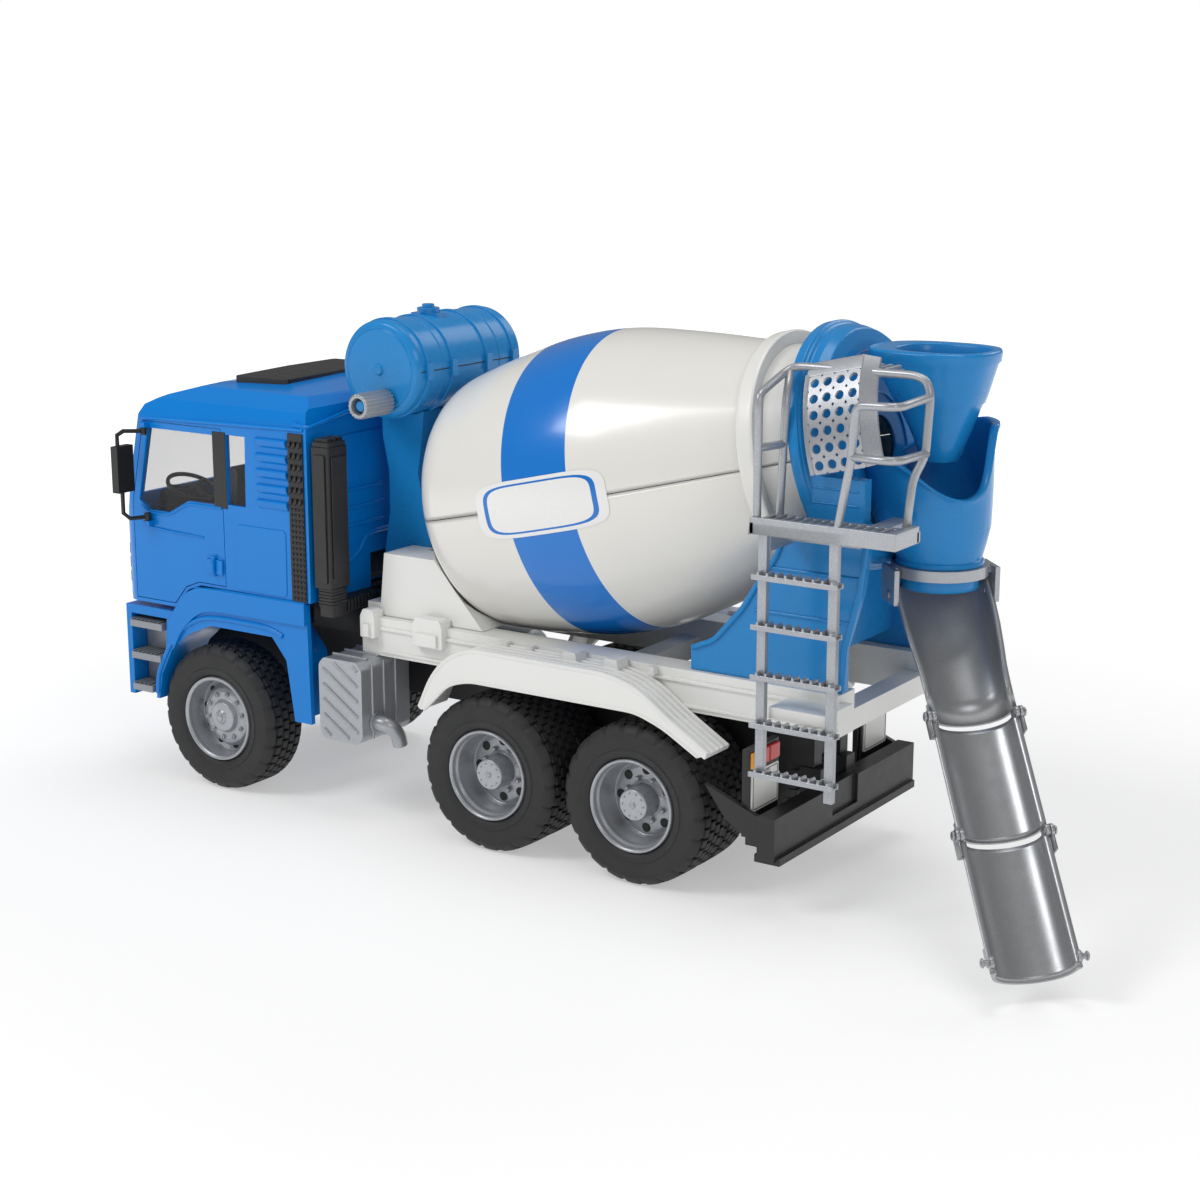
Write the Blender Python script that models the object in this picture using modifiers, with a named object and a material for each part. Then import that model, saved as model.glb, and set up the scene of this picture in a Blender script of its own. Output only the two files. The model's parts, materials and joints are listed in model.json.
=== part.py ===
"""Toy cement mixer: a three-axle truck with a tilting cab, opening doors, a turning drum and a swivelling chute.

Sizes below are in millimetres and are turned into metres where each shape is made. While it is being
modelled, x = 0 is the front axle, y = 0 the middle of the truck and z = 0 the ground; the truck faces -X.
At the end everything is moved so that the origin is under the middle of the whole toy.
"""

import math

import bmesh
import bpy
from mathutils import Matrix, Vector

MM = 0.001
GAP = 0.3

# Wheels and axles
TYRE_R = 42.0
RIM_R = 24.0
AXLE_R = 3.0
REAR_AXLE_X = (190.0, 279.4)
WHEEL_FACE_Y = 76.0
FRONT_TYRE_WIDTH = 30.0
REAR_TYRE_WIDTH = 54.0

# Chassis
RAIL_IN, RAIL_OUT = 10.0, 18.0
RAIL_BOTTOM, RAIL_TOP = 60.0, 90.0
DECK_TOP = 111.0
DECK_HALF = 55.0
DECK_FRONT, DECK_REAR = 92.0, 384.0

# Cab
CAB_HALF = 75.0
CAB_PIVOT = (-64.5, 102.5)
DOOR_HINGE = (-57.5, 74.6)
MIRROR_PIVOT = (-45.0, 77.4)

# Drum: its axis starts at the front end and rises to the rear
DRUM_START = Vector((116.1, 0.0, 163.7))
DRUM_TILT = math.radians(13.26)
DRUM_WALL = 2.0
DRUM_BELLY = ((0, 25), (6, 36), (16, 48), (32, 66), (55, 72.5), (80, 76),
              (105, 79.6), (135, 78), (170, 70), (210, 59), (256, 47))
RING_AT, RING_R = 225.0, 61.0
ROLLER_R = 6.0
ROLLER_ANGLE = math.radians(35)

# Tank and drive
TANK_X, TANK_Z, TANK_R, TANK_HALF = 101.5, 244.9, 26.4, 46.0
CRANK_X, CRANK_Z = 106.4, 228.4
UPRIGHT_X = 102.0

# Chute: it hangs under the outlet and is swung towards the left side
OUTLET_X = 408.0
CHUTE_SWING = math.radians(46)
CHUTE_SLOPE = math.radians(45)
CHUTE_TOP = (2.0, 162.0)
CHUTE_TOP_HALF = 22.5
CHUTE_HALF = 18.5
CHUTE_DEPTH = 15.0
MAIN_LENGTH = 76.0
EXTENSION_PITCH = 61.0


# ---------------------------------------------------------------- scene

for thing in list(bpy.data.objects):
    bpy.data.objects.remove(thing, do_unlink=True)


def collection(name):
    made = bpy.data.collections.new(name)
    bpy.context.scene.collection.children.link(made)
    return made


MODEL = collection("toy_cement_mixer")
WORKSHOP = collection("workshop")


def paint(name, colour, roughness, metallic=0.0, alpha=1.0):
    """A Principled material with one colour."""
    made = bpy.data.materials.new(name)
    made.use_nodes = True
    shader = made.node_tree.nodes["Principled BSDF"]
    shader.inputs["Base Color"].default_value = (*colour, 1.0)
    shader.inputs["Roughness"].default_value = roughness
    shader.inputs["Metallic"].default_value = metallic
    shader.inputs["Alpha"].default_value = alpha
    made.diffuse_color = (*colour, alpha)
    return made


CAB_BLUE = ("cab_blue", (0.006, 0.22, 0.65), 0.3)
BODY_BLUE = ("body_blue", (0.03, 0.24, 0.58), 0.35)
WHITE = ("white_plastic", (0.78, 0.78, 0.75), 0.4)
DRUM_WHITE = ("drum_white", (0.8, 0.79, 0.75), 0.25)
BLACK = ("black_plastic", (0.012, 0.012, 0.013), 0.5)
TYRE = ("tyre_rubber", (0.016, 0.016, 0.017), 0.8)
SILVER = ("silver_plastic", (0.45, 0.45, 0.45), 0.35, 0.5)
GREY = ("grey_plastic", (0.3, 0.31, 0.32), 0.45)
CHUTE_METAL = ("chute_silver", (0.6, 0.6, 0.6), 0.25, 0.9)
STEEL = ("steel", (0.5, 0.5, 0.5), 0.3, 1.0)
CLEAR = ("clear_plastic", (0.8, 0.83, 0.85), 0.05, 0.0, 0.25)


# ---------------------------------------------------------------- shapes

def from_bmesh(shape):
    mesh = bpy.data.meshes.new("shape")
    shape.to_mesh(mesh)
    shape.free()
    made = bpy.data.objects.new("shape", mesh)
    WORKSHOP.objects.link(made)
    return made


def box(x, y, z):
    """A box between two values along each axis."""
    shape = bmesh.new()
    bmesh.ops.create_cube(shape, size=1.0)
    sizes = [(hi - lo) * MM for lo, hi in (x, y, z)]
    middle = Vector([(hi + lo) / 2 * MM for lo, hi in (x, y, z)])
    shape.transform(Matrix.Translation(middle) @ Matrix.Diagonal((*sizes, 1.0)))
    return from_bmesh(shape)


def rod(start, end, radius, sides=12, end_radius=None):
    """A round bar or a cone between two points."""
    start, end = Vector(start) * MM, Vector(end) * MM
    turn = (end - start).to_track_quat("Z", "Y").to_matrix().to_4x4()
    shape = bmesh.new()
    bmesh.ops.create_cone(shape, cap_ends=True, segments=sides, radius1=radius * MM,
                          radius2=(radius if end_radius is None else end_radius) * MM,
                          depth=(end - start).length)
    shape.transform(Matrix.Translation((start + end) / 2) @ turn)
    return from_bmesh(shape)


def baked(source):
    """The evaluated mesh of an object as a clean new object, with the source removed."""
    graph = bpy.context.evaluated_depsgraph_get()
    mesh = bpy.data.meshes.new_from_object(source.evaluated_get(graph))
    shape = bmesh.new()
    shape.from_mesh(mesh)
    shape.transform(source.matrix_world)
    bmesh.ops.remove_doubles(shape, verts=shape.verts, dist=1e-6)
    bmesh.ops.dissolve_degenerate(shape, edges=shape.edges, dist=1e-6)
    bmesh.ops.recalc_face_normals(shape, faces=shape.faces)
    bpy.data.objects.remove(source, do_unlink=True)
    return from_bmesh(shape)


SIDE = Matrix(((1, 0, 0, 0), (0, 0, -1, 0), (0, 1, 0, 0), (0, 0, 0, 1)))
FRONT = Matrix(((0, 0, 1, 0), (1, 0, 0, 0), (0, 1, 0, 0), (0, 0, 0, 1)))
TOP = Matrix.Identity(4)


def plate(points, low, high, frame=SIDE):
    """A flat outline given thickness from low to high along the third axis of its frame."""
    curve = bpy.data.curves.new("outline", "CURVE")
    curve.dimensions = "2D"
    curve.fill_mode = "BOTH"
    curve.extrude = (high - low) / 2 * MM
    spline = curve.splines.new("POLY")
    spline.points.add(len(points) - 1)
    for point, (u, v) in zip(spline.points, points):
        point.co = (u * MM, v * MM, 0, 1)
    spline.use_cyclic_u = True
    made = bpy.data.objects.new("outline", curve)
    WORKSHOP.objects.link(made)
    made.matrix_world = frame @ Matrix.Translation((0, 0, (low + high) / 2 * MM))
    bpy.context.view_layer.update()
    return baked(made)


def side_plate(points, y_low, y_high):
    """An outline in the side view, x and z, that runs from one y to another."""
    return plate(points, -y_high, -y_low, SIDE)


def tube(points, radius, sides_level=1):
    """A round bar along a bent path."""
    curve = bpy.data.curves.new("path", "CURVE")
    curve.dimensions = "3D"
    curve.bevel_depth = radius * MM
    curve.bevel_resolution = sides_level
    curve.use_fill_caps = True
    spline = curve.splines.new("POLY")
    spline.points.add(len(points) - 1)
    for point, place in zip(spline.points, points):
        point.co = (*(Vector(place) * MM), 1)
    made = bpy.data.objects.new("path", curve)
    WORKSHOP.objects.link(made)
    bpy.context.view_layer.update()
    return baked(made)


def turned(profile, frame, steps=32):
    """A profile of (radius, height) points spun about the frame's Z axis. A profile off the axis is closed."""
    mesh = bpy.data.meshes.new("profile")
    ends = [(i, i + 1) for i in range(len(profile) - 1)]
    if profile[0][0] > 0 or profile[-1][0] > 0:
        ends.append((len(profile) - 1, 0))
    mesh.from_pydata([(r * MM, 0, h * MM) for r, h in profile], ends, [])
    made = bpy.data.objects.new("profile", mesh)
    WORKSHOP.objects.link(made)
    spin = made.modifiers.new("spin", "SCREW")
    spin.steps = spin.render_steps = steps
    spin.use_merge_vertices = True
    spin.merge_threshold = 1e-5
    made.matrix_world = frame
    bpy.context.view_layer.update()
    return baked(made)


def at(x, y, z):
    return Matrix.Translation(Vector((x, y, z)) * MM)


def along_y(x, z):
    """A frame whose Z axis is the truck's Y axis, through (x, z)."""
    return at(x, 0, z) @ Matrix.Rotation(-math.pi / 2, 4, "X")


def duct(stations, wall, sides=18):
    """A hollow pipe lofted through oval stations: (x, z, lean, half length, half width)."""
    shape = bmesh.new()
    rings = []
    for shrink in (0.0, wall):
        for x, z, lean, a, b in stations:
            ring = []
            for k in range(sides):
                turn = 2 * math.pi * k / sides
                along, across = (a - shrink) * math.cos(turn), (b - shrink) * math.sin(turn)
                place = Vector((x + along * math.cos(lean), across, z + along * math.sin(lean)))
                ring.append(shape.verts.new(place * MM))
            rings.append(ring)
    half = len(stations)
    pairs = [(rings[i], rings[i + 1]) for i in range(half - 1)]
    pairs += [(rings[i + 1], rings[i]) for i in range(half, 2 * half - 1)]
    pairs += [(rings[half], rings[0]), (rings[half - 1], rings[-1])]
    for low, high in pairs:
        for k in range(sides):
            after = (k + 1) % sides
            shape.faces.new((low[k], low[after], high[after], high[k]))
    bmesh.ops.recalc_face_normals(shape, faces=shape.faces)
    return from_bmesh(shape)


def combined(base, others, how):
    for other in others:
        step = base.modifiers.new(how.lower(), "BOOLEAN")
        step.operation = how
        step.solver = "EXACT"
        step.object = other
    bpy.context.view_layer.update()
    made = baked(base)
    for other in others:
        bpy.data.objects.remove(other, do_unlink=True)
    return made


def joined(*shapes):
    return combined(shapes[0], shapes[1:], "UNION")


def cut(base, *cutters):
    return combined(base, cutters, "DIFFERENCE")


def common(base, other):
    return combined(base, (other,), "INTERSECT")


def mirrored(source):
    """A copy of a shape on the other side of the truck."""
    shape = bmesh.new()
    shape.from_mesh(source.data)
    shape.transform(Matrix.Diagonal((1, -1, 1, 1)))
    bmesh.ops.reverse_faces(shape, faces=shape.faces)
    return from_bmesh(shape)


def arch_band(points, thickness):
    """The outline of a bent strip: a line of points and the same line set off to its right."""
    inner = []
    for i, (x, z) in enumerate(points):
        before, after = points[max(i - 1, 0)], points[min(i + 1, len(points) - 1)]
        along = Vector((after[0] - before[0], after[1] - before[1])).normalized()
        inner.append((x + along.y * thickness, z - along.x * thickness))
    return list(points) + inner[::-1]


# ---------------------------------------------------------------- bodies

def pivot(name, place=(0, 0, 0), parent=None):
    """An empty on a joint's axis, which the pieces of that body hang from."""
    made = bpy.data.objects.new(name, None)
    made.empty_display_size = 0.01
    MODEL.objects.link(made)
    made.location = Vector(place) * MM
    if parent:
        made.parent = parent
        made.location = Vector(place) * MM - spot(parent)
    return made


def spot(holder):
    """Where an empty is, added up along its parents."""
    place = holder.location.copy()
    while holder.parent:
        holder = holder.parent
        place += holder.location
    return place


def put(name, shape, finish, body):
    """Names a finished shape, gives it its material and hangs it from its body's empty."""
    shape.name = shape.data.name = name
    WORKSHOP.objects.unlink(shape)
    MODEL.objects.link(shape)
    shape.data.transform(Matrix.Translation(-spot(body)))
    shape.parent = body
    material = bpy.data.materials.get(finish[0]) or paint(*finish)
    shape.data.materials.append(material)
    shape.data.shade_smooth()
    shape.data.set_sharp_from_angle(angle=math.radians(35))
    return shape


TRUCK = pivot("truck_origin")
SIDES = (("left", -1), ("right", 1))


# ---------------------------------------------------------------- chassis

def chassis():
    parts = []
    for side in (-1, 1):
        y = sorted((side * RAIL_IN, side * RAIL_OUT))
        parts.append(box((-60, 352), y, (RAIL_BOTTOM, RAIL_TOP)))
        for x, half in ((0, 9), (REAR_AXLE_X[0], 9), (REAR_AXLE_X[1], 9)):
            parts.append(box((x - half, x + half), y, (34, RAIL_BOTTOM + 1)))
        ear = sorted((side * 12, side * 17))
        parts.append(box((-67, -56), ear, (97.5, 107)))
        parts.append(box((-62, -56), ear, (RAIL_TOP - 12, 106)))
    for x in (-56, 112, 232, 340):
        parts.append(box((x, x + 10), (-RAIL_IN - 1, RAIL_IN + 1), (64, 82)))
    frame = joined(*parts)
    bores = [rod((x, -25, TYRE_R), (x, 25, TYRE_R), AXLE_R + GAP, 10) for x in (0, *REAR_AXLE_X)]
    frame = cut(frame, *bores)
    put("chassis_frame", joined(frame, *cab_pins()), BLACK, TRUCK)


def cab_pins():
    """A stub on each of the chassis's front ears, which the cab tilts on."""
    x, z = CAB_PIVOT
    return [rod((x, side * 13, z), (x, side * 25, z), 1.6, 8) for side in (-1, 1)]


def axle(name, x, differential):
    shaft = rod((x, -70.5, TYRE_R), (x, 70.5, TYRE_R), AXLE_R, 10)
    if differential:
        shaft = joined(shaft, turned([(0, -9), (6, -8.5), (11, -4), (11, 4), (6, 8.5), (0, 9)],
                                     along_y(x, TYRE_R), 16))
    put(name, shaft, STEEL, TRUCK)


def wheel(name, side_name, side, x, width):
    """A tyre and its rim, which turn together on the axle."""
    body = pivot(f"{name}_axis", (x, side * (WHEEL_FACE_Y - width / 2), TYRE_R), TRUCK)
    outer, inner = WHEEL_FACE_Y, WHEEL_FACE_Y - width
    tread = [(TYRE_R, outer - 8)]
    if width > 40:
        middle = (outer + inner) / 2
        tread += [(TYRE_R, middle + 3), (TYRE_R - 5, middle), (TYRE_R, middle - 3)]
    tread += [(TYRE_R, inner + 5)]
    section = [(RIM_R + GAP, outer - 1), (34, outer), (39.5, outer - 3), *tread, (36, inner),
               (RIM_R + GAP, inner + 1)]
    tyre = turned(section, along_y(x, TYRE_R), 24)
    rim = turned([(0, outer - 3), (8, outer - 3), (8, outer - 12), (20, outer - 14), (RIM_R - 0.2, outer),
                  (RIM_R - 0.2, inner + 1), (20.5, inner + 1), (20.5, outer - 18), (8, outer - 16),
                  (8, inner + 1.5), (AXLE_R + GAP, inner + 1.5), (AXLE_R + GAP, outer - 5),
                  (0, outer - 5)], along_y(x, TYRE_R), 16)
    if side < 0:
        tyre_left, rim_left = mirrored(tyre), mirrored(rim)
        for old in (tyre, rim):
            bpy.data.objects.remove(old, do_unlink=True)
        tyre, rim = tyre_left, rim_left
    put(f"{name}_tyre", tyre, TYRE, body)
    put(f"{name}_rim", rim, SILVER, body)


def fairing():
    """The blue lower front: bumper panel, side skirts and wheel arches."""
    panels = [box((-68, -64), (-75, 75), (47, 100.5))]
    arch = [(-44.3, 47), (-41.5, 62), (-33, 77.5), (-20, 88.5), (-2, 96), (44, 96), (54, 84), (59, 50)]
    skirt = [(-66, 95.5), (-66, 100.5), (-26.2, 100.5), (-25.6, 104.6), (-17.6, 113.4), (-7.6, 117.2), (69.6, 117.2), (71, 50),
             *arch[::-1], (-46.8, 47), (-45, 60), (-38, 74), (-36, 95.5)]
    for side in (-1, 1):
        panels.append(side_plate(skirt, *sorted((side * 72, side * 75))))
        panels.append(side_plate(arch_band(arch[::-1], 2.5), *sorted((side * 44, side * 73))))
        panels.append(box((-66, -28), sorted((side * 44, side * 74)), (98, 100.5)))
    shape = joined(*panels)
    relief = box((-75, -50), (-28, 28), (96, 110))
    put("front_fairing", cut(shape, relief), CAB_BLUE, TRUCK)


def steps(side_name, side):
    back = side_plate([(-63.5, 47.5), (-47.4, 47.5), (-45.6, 60), (-38.6, 74), (-36.6, 94.8), (-63.5, 94.8)],
                      *sorted((side * 61, side * 64)))
    treads = [box((-63.5, rear), sorted((side * 62, side * 77)), (z - 2, z + 2))
              for z, rear in ((90, -38.5), (71, -40.5), (52, -48))]
    put(f"{side_name}_steps", joined(back, *treads), GREY, TRUCK)


def engine():
    block = box((30, 66), (-24, 24), (RAIL_TOP + GAP, 113))
    head = box((36, 60), (-16, 16), (112, 116))
    duct_down = box((64, 82), (-22, 22), (92, 108))
    put("engine_block", joined(block, head, duct_down), BLACK, TRUCK)


def silencer():
    pipe = tube([(105, -64, 55), (113, -64, 55), (116.5, -62, 53), (118, -59, 49), (118, -57, 42)], 4.2, 2)
    put("exhaust_silencer", joined(box((77, 107), (-75, -34), (44, 90)), pipe), GREY, TRUCK)
    put("fuel_tank", turned([(0, 77), (17, 77), (19, 79), (19, 128), (17, 130), (0, 130)],
                            at(0, 54, 66) @ Matrix.Rotation(math.pi / 2, 4, "Y"), 24), GREY, TRUCK)


def intake_stack():
    stack = box((75.5, 88), (-75, -59), (128, 206))
    foot = box((77, 87), (-72, -62), (112, 129))
    elbow = box((77, 87), (-64, -30), (112, 120))
    put("air_intake_stack", joined(stack, foot, elbow), BLACK, TRUCK)


def mixer_subframe():
    parts = [box((DECK_FRONT, DECK_REAR), sorted((side * 39, side * DECK_HALF)), (90, DECK_TOP))
             for side in (-1, 1)]
    for x in (DECK_FRONT, 238, 372):
        parts.append(box((x, x + 12), (-42, 42), (RAIL_TOP + GAP, 101)))
    for side in (-1, 1):
        for x0, x1 in ((95, 103), (131, 149)):
            parts.append(box((x0, x1), sorted((side * 50, side * 58)), (100, 115)))
    parts.append(box((358.5, 389), (-77.2, -50), (101.6, 107)))
    put("mixer_subframe", joined(*parts), WHITE, TRUCK)


def rear_fender(side_name, side):
    arch = [(148, 73), (156, 90), (166, 101), (180, 108), (266, 108), (284, 103), (301, 91), (325, 77)]
    band = side_plate(arch_band(arch, 2.5), *sorted((side * 55.4, side * 78)))
    skirt = [(149, 74), *arch[1:-1], (324, 77), (320, 75), (300, 86.5), (284, 92), (181, 92), (168, 88),
             (152, 72)]
    put(f"{side_name}_rear_fender", joined(band, side_plate(skirt, *sorted((side * 75.5, side * 78)))),
        WHITE, TRUCK)


def rear_bumper():
    beam = box((352.4, 362), (-76, 76), (29, 51))
    lip = box((350, 364), (-74, 74), (27, 31))
    posts = [box((344, 356), sorted((side * 9.5, side * 18.5)), (36, 59.6)) for side in (-1, 1)]
    arms = [side_plate([(322, 62), (353, 50), (353, 34), (334, 46)], *sorted((side * 72, side * 75)))
            for side in (-1, 1)]
    tabs = [box((344, 356), sorted((side * 17.5, side * 72.5)), (34, 40)) for side in (-1, 1)]
    panels = [box((342, 345), sorted((side * 43, side * 73)), (38, 82)) for side in (-1, 1)]
    beam = joined(beam, lip, *posts, *arms, *tabs, *panels)
    put("rear_bumper", cut(beam, box((360, 370), (-16, 11), (36, 56))), BLACK, TRUCK)


# ---------------------------------------------------------------- cab

CAB = pivot("cab_tilt_axis", (CAB_PIVOT[0], 0, CAB_PIVOT[1]), TRUCK)
CAB_OUTER = ((-64, 103.5), (-67, 108), (-67, 147), (-62.5, 160), (-51, 212), (-47, 218), (-33, 224),
             (-8, 231), (30, 233), (62, 229), (70, 224), (73, 213), (73, 118.6), (-8, 118.6), (-18, 114.8), (-26.5, 105.6), (-27, 103.5))
CAB_INNER = ((-61, 107), (-64, 110), (-64, 146), (-59.5, 159), (-48, 210), (-44, 215), (-32, 221),
             (-8, 228), (30, 230), (61, 226), (67, 222), (70, 212), (70, 121.6), (-11, 121.6), (-20, 118.6), (-30, 107.6), (-30, 107))
DOOR = ((-58, 106), (-58, 161), (-47.5, 208.5), (11, 208.5), (11, 120.5), (-9.5, 120.5),
        (-19.5, 116.5), (-28.5, 106))
DOOR_OPENING = ((-58.4, 105.6), (-58.4, 161.1), (-47.9, 208.9), (11.4, 208.9), (11.4, 120.1),
                (-9.4, 120.1), (-19.2, 116.1), (-28.1, 105.6))
DOOR_WINDOW = ((-53, 163), (-44, 205), (5, 205), (5, 166), (-15, 166), (-30, 158), (-46, 158))
QUARTER_WINDOW = ((15, 167), (15, 206), (29, 206), (28, 167))


def roof_section(half, shoulder, crown):
    return [(-half, 95), (half, 95), (half, shoulder), (half - 3, shoulder + 9), (half - 15, shoulder + 16),
            (0, crown), (15 - half, shoulder + 16), (3 - half, shoulder + 9), (-half, shoulder)]


def cab_shell():
    shell = common(side_plate(CAB_OUTER, -CAB_HALF - 5, CAB_HALF + 5),
                   plate(roof_section(CAB_HALF, 213, 241), -90, 90, FRONT))
    hollow = common(side_plate(CAB_INNER, -CAB_HALF - 5, CAB_HALF + 5),
                    plate(roof_section(CAB_HALF - 3, 212, 238), -90, 90, FRONT))
    openings = [hollow, box((-75, -40), (-66, 66), (165, 207)), box((62, 80), (-24, 24), (110, 138))]
    for side in (-1, 1):
        y = sorted((side * 70, side * 80))
        openings.append(side_plate(DOOR_OPENING, *y))
        openings.append(side_plate(QUARTER_WINDOW, *y))
    shell = cut(shell, *openings)
    x, z = CAB_PIVOT
    ears = [joined(rod((x, side * 18, z), (x, side * 24, z), 4, 16),
                   box((x - 2, x + 3), sorted((side * 18, side * 24)), (z, 108.6))) for side in (-1, 1)]
    shell = joined(shell, *ears)
    shell = cut(shell, rod((x, -26, z), (x, 26, z), 1.6 + GAP, 8),
                *[box((-70, -54), sorted((side * 11.5, side * 17.5)), (98, 108)) for side in (-1, 1)])
    put("cab_shell", shell, CAB_BLUE, CAB)


def cab_fittings():
    floor = box((-29, 69), (-71, 71), (121.6 + GAP, 124))
    dash = side_plate([(-60, 123), (-60, 152), (-46, 158), (-38, 150), (-40, 123)], -70, 70)
    link = box((-45, -25), (-60, 60), (121.6 + GAP, 124))
    seats = []
    for side in (-1, 1):
        y = sorted((side * 18, side * 54))
        seats += [box((2, 32), y, (123, 142)), side_plate([(26, 140), (34, 166), (41, 165), (34, 125)], *y)]
    wheel_post = rod((-44, -36, 148), (-29.7, -36, 161.8), 2.2, 10)
    tilt = at(-29.5, -36, 162) @ Matrix.Rotation(math.radians(46), 4, "Y")
    ring = turned([(15 - 1.6, -1.2), (15, 0), (15 - 1.6, 1.2), (15 - 3.2, 0)], tilt, 14)
    spokes = [joined(box((-14, 14), (-1.5, 1.5), (-0.8, 0.8)), box((-1.5, 1.5), (-14, 14), (-0.8, 0.8)),
                     rod((0, 0, -1), (0, 0, 1), 4, 12))]
    spokes[0].data.transform(tilt)
    put("cab_interior", joined(floor, dash, link, *seats, wheel_post, ring, *spokes), BLACK, CAB)
    slope = 11.5 / 52
    low, high = 165 + GAP, 207 - GAP
    glass = [(-62.5 + (low - 160) * slope + 0.6, low), (-62.5 + (high - 160) * slope + 0.6, high)]
    glass += [(x + 1.3, z) for x, z in glass[::-1]]
    put("windscreen", side_plate(glass, -66 + GAP, 66 - GAP), CLEAR, CAB)


def cab_side(side_name, side):
    """A door and the mirror that folds on it."""
    y_out, y_in = side * CAB_HALF, side * (CAB_HALF - 2.6)
    door_body = pivot(f"{side_name}_door_axis", (DOOR_HINGE[0], side * DOOR_HINGE[1], 165), CAB)
    door = cut(side_plate(DOOR, *sorted((y_out, y_in))),
               side_plate(DOOR_WINDOW, *sorted((side * 70, side * 80))))
    handle = box((-2, 10), sorted((side * 74, side * 76.5)), (127, 135))
    lugs = [box((MIRROR_PIVOT[0] - 2.5, MIRROR_PIVOT[0] + 2.5),
                sorted((side * 74, side * (MIRROR_PIVOT[1] + 1.6))), z) for z in ((149, 152), (205.4, 208.2))]
    put(f"{side_name}_door", joined(door, handle, *lugs), CAB_BLUE, door_body)

    x, y = MIRROR_PIVOT[0], side * MIRROR_PIVOT[1]
    mirror_body = pivot(f"{side_name}_mirror_axis", (x, y, 182), door_body)
    arm_low = tube([(x, y, 154.2), (x - 4.5, y + side * 9, 154.2), (x - 6.5, y + side * 12, 157.5),
                    (x - 6.5, y + side * 12, 172)], 1.3)
    arm_high = tube([(x, y, 203.2), (x - 4.5, y + side * 11, 204.2), (x - 6.5, y + side * 14, 202),
                     (x - 6.5, y + side * 14, 192)], 1.3)
    pins = [rod((x, y, low), (x, y, high), 1.9, 12) for low, high in ((152 + GAP, 156.4), (201.2, 205.4 - GAP))]
    head = box((x - 9, x - 4), sorted((y + side * 4.6, y + side * 17)), (169.5, 195.8))
    put(f"{side_name}_mirror", joined(head, *pins, arm_low, arm_high), BLACK, mirror_body)


# ---------------------------------------------------------------- drum and its drive

TILT = Matrix.Translation(DRUM_START * MM) @ Matrix.Rotation(math.pi / 2 - DRUM_TILT, 4, "Y")


def on_axis(s):
    return DRUM_START + Vector((math.cos(DRUM_TILT), 0, math.sin(DRUM_TILT))) * s


def in_drum_frame(shape):
    """Places a shape made along Z, with X downwards, onto the drum's axis."""
    shape.data.transform(TILT)
    return shape


DRUM = pivot("drum_axis", on_axis(100), TRUCK)


def belly(s):
    """The drum's outer radius at a distance along its axis."""
    for (s0, r0), (s1, r1) in zip(DRUM_BELLY, DRUM_BELLY[1:]):
        if s <= s1:
            return r0 + (r1 - r0) * (s - s0) / (s1 - s0)
    return DRUM_BELLY[-1][1]


def drum():
    inside = [(r - DRUM_WALL * 1.15, s) for s, r in DRUM_BELLY[1:]]
    profile = [(r, s) for s, r in DRUM_BELLY] + inside[::-1] + [(23, DRUM_WALL), (6, DRUM_WALL), (6, 0)]
    for name, side in (("lower", 1), ("upper", -1)):
        shell = turned(profile, Matrix.Identity(4), 32)
        x = sorted((side * 0.15, side * 120))
        half = common(shell, box(x, (-120, 120), (-20, 300)))
        put(f"drum_shell_{name}", in_drum_frame(half), DRUM_WHITE, DRUM)
    ring = turned([(belly(RING_AT - 3) + 0.5, RING_AT - 3), (RING_R, RING_AT - 3), (RING_R, RING_AT + 3),
                   (belly(RING_AT - 3) + 0.5, RING_AT + 3)], Matrix.Identity(4), 36)
    put("drum_running_ring", in_drum_frame(ring), WHITE, DRUM)
    journal = turned([(0, -14), (5, -14), (5, -2), (14, -1.6), (14, -GAP), (6 - GAP, -GAP), (6 - GAP, 4),
                      (0, 4)], Matrix.Identity(4), 16)
    put("drum_journal", in_drum_frame(journal), STEEL, DRUM)
    hoop = turned([(52, 60), (58, 60), (58, 64), (52, 64)], Matrix.Identity(4), 24)
    put("mixing_blades", in_drum_frame(joined(blade(0.0), hoop, blade(math.pi))), WHITE, DRUM)


def blade(start, first=24.0, last=248.0, turns=1.1, steps=24, reach=15.0, thick=1.4):
    """A strip that winds along the inside of the drum, as a closed loft of four-cornered sections."""
    shape = bmesh.new()
    rings = []
    for i in range(steps + 1):
        s = first + (last - first) * i / steps
        angle = start + 2 * math.pi * turns * i / steps
        outer = belly(s) - DRUM_WALL * 1.15 - 1.6
        ring = []
        for radius, shift in ((outer, -thick), (outer, thick), (outer - reach, thick), (outer - reach, -thick)):
            place = Vector((radius * math.cos(angle), radius * math.sin(angle), s + shift / 2))
            ring.append(shape.verts.new(place * MM))
        rings.append(ring)
    for low, high in zip(rings, rings[1:]):
        for k in range(4):
            shape.faces.new((low[k], low[(k + 1) % 4], high[(k + 1) % 4], high[k]))
    shape.faces.new(rings[0])
    shape.faces.new(rings[-1][::-1])
    bmesh.ops.recalc_face_normals(shape, faces=shape.faces)
    return from_bmesh(shape)


def rollers():
    """Two small rollers on the stand that carry the running ring."""
    reach = RING_R + ROLLER_R + 0.35
    for side_name, side in SIDES:
        down, across = reach * math.cos(ROLLER_ANGLE), -side * reach * math.sin(ROLLER_ANGLE)
        middle = TILT @ (Vector((down, across, RING_AT)) * MM) / MM
        body = pivot(f"{side_name}_roller_axis", middle, TRUCK)
        roller = turned([(0, -4), (ROLLER_R, -4), (ROLLER_R, 4), (2, 4), (2, 10), (0, 10)],
                        Matrix.Translation(Vector((down, across, RING_AT)) * MM), 20)
        put(f"{side_name}_roller", in_drum_frame(roller), GREY, body)


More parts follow.
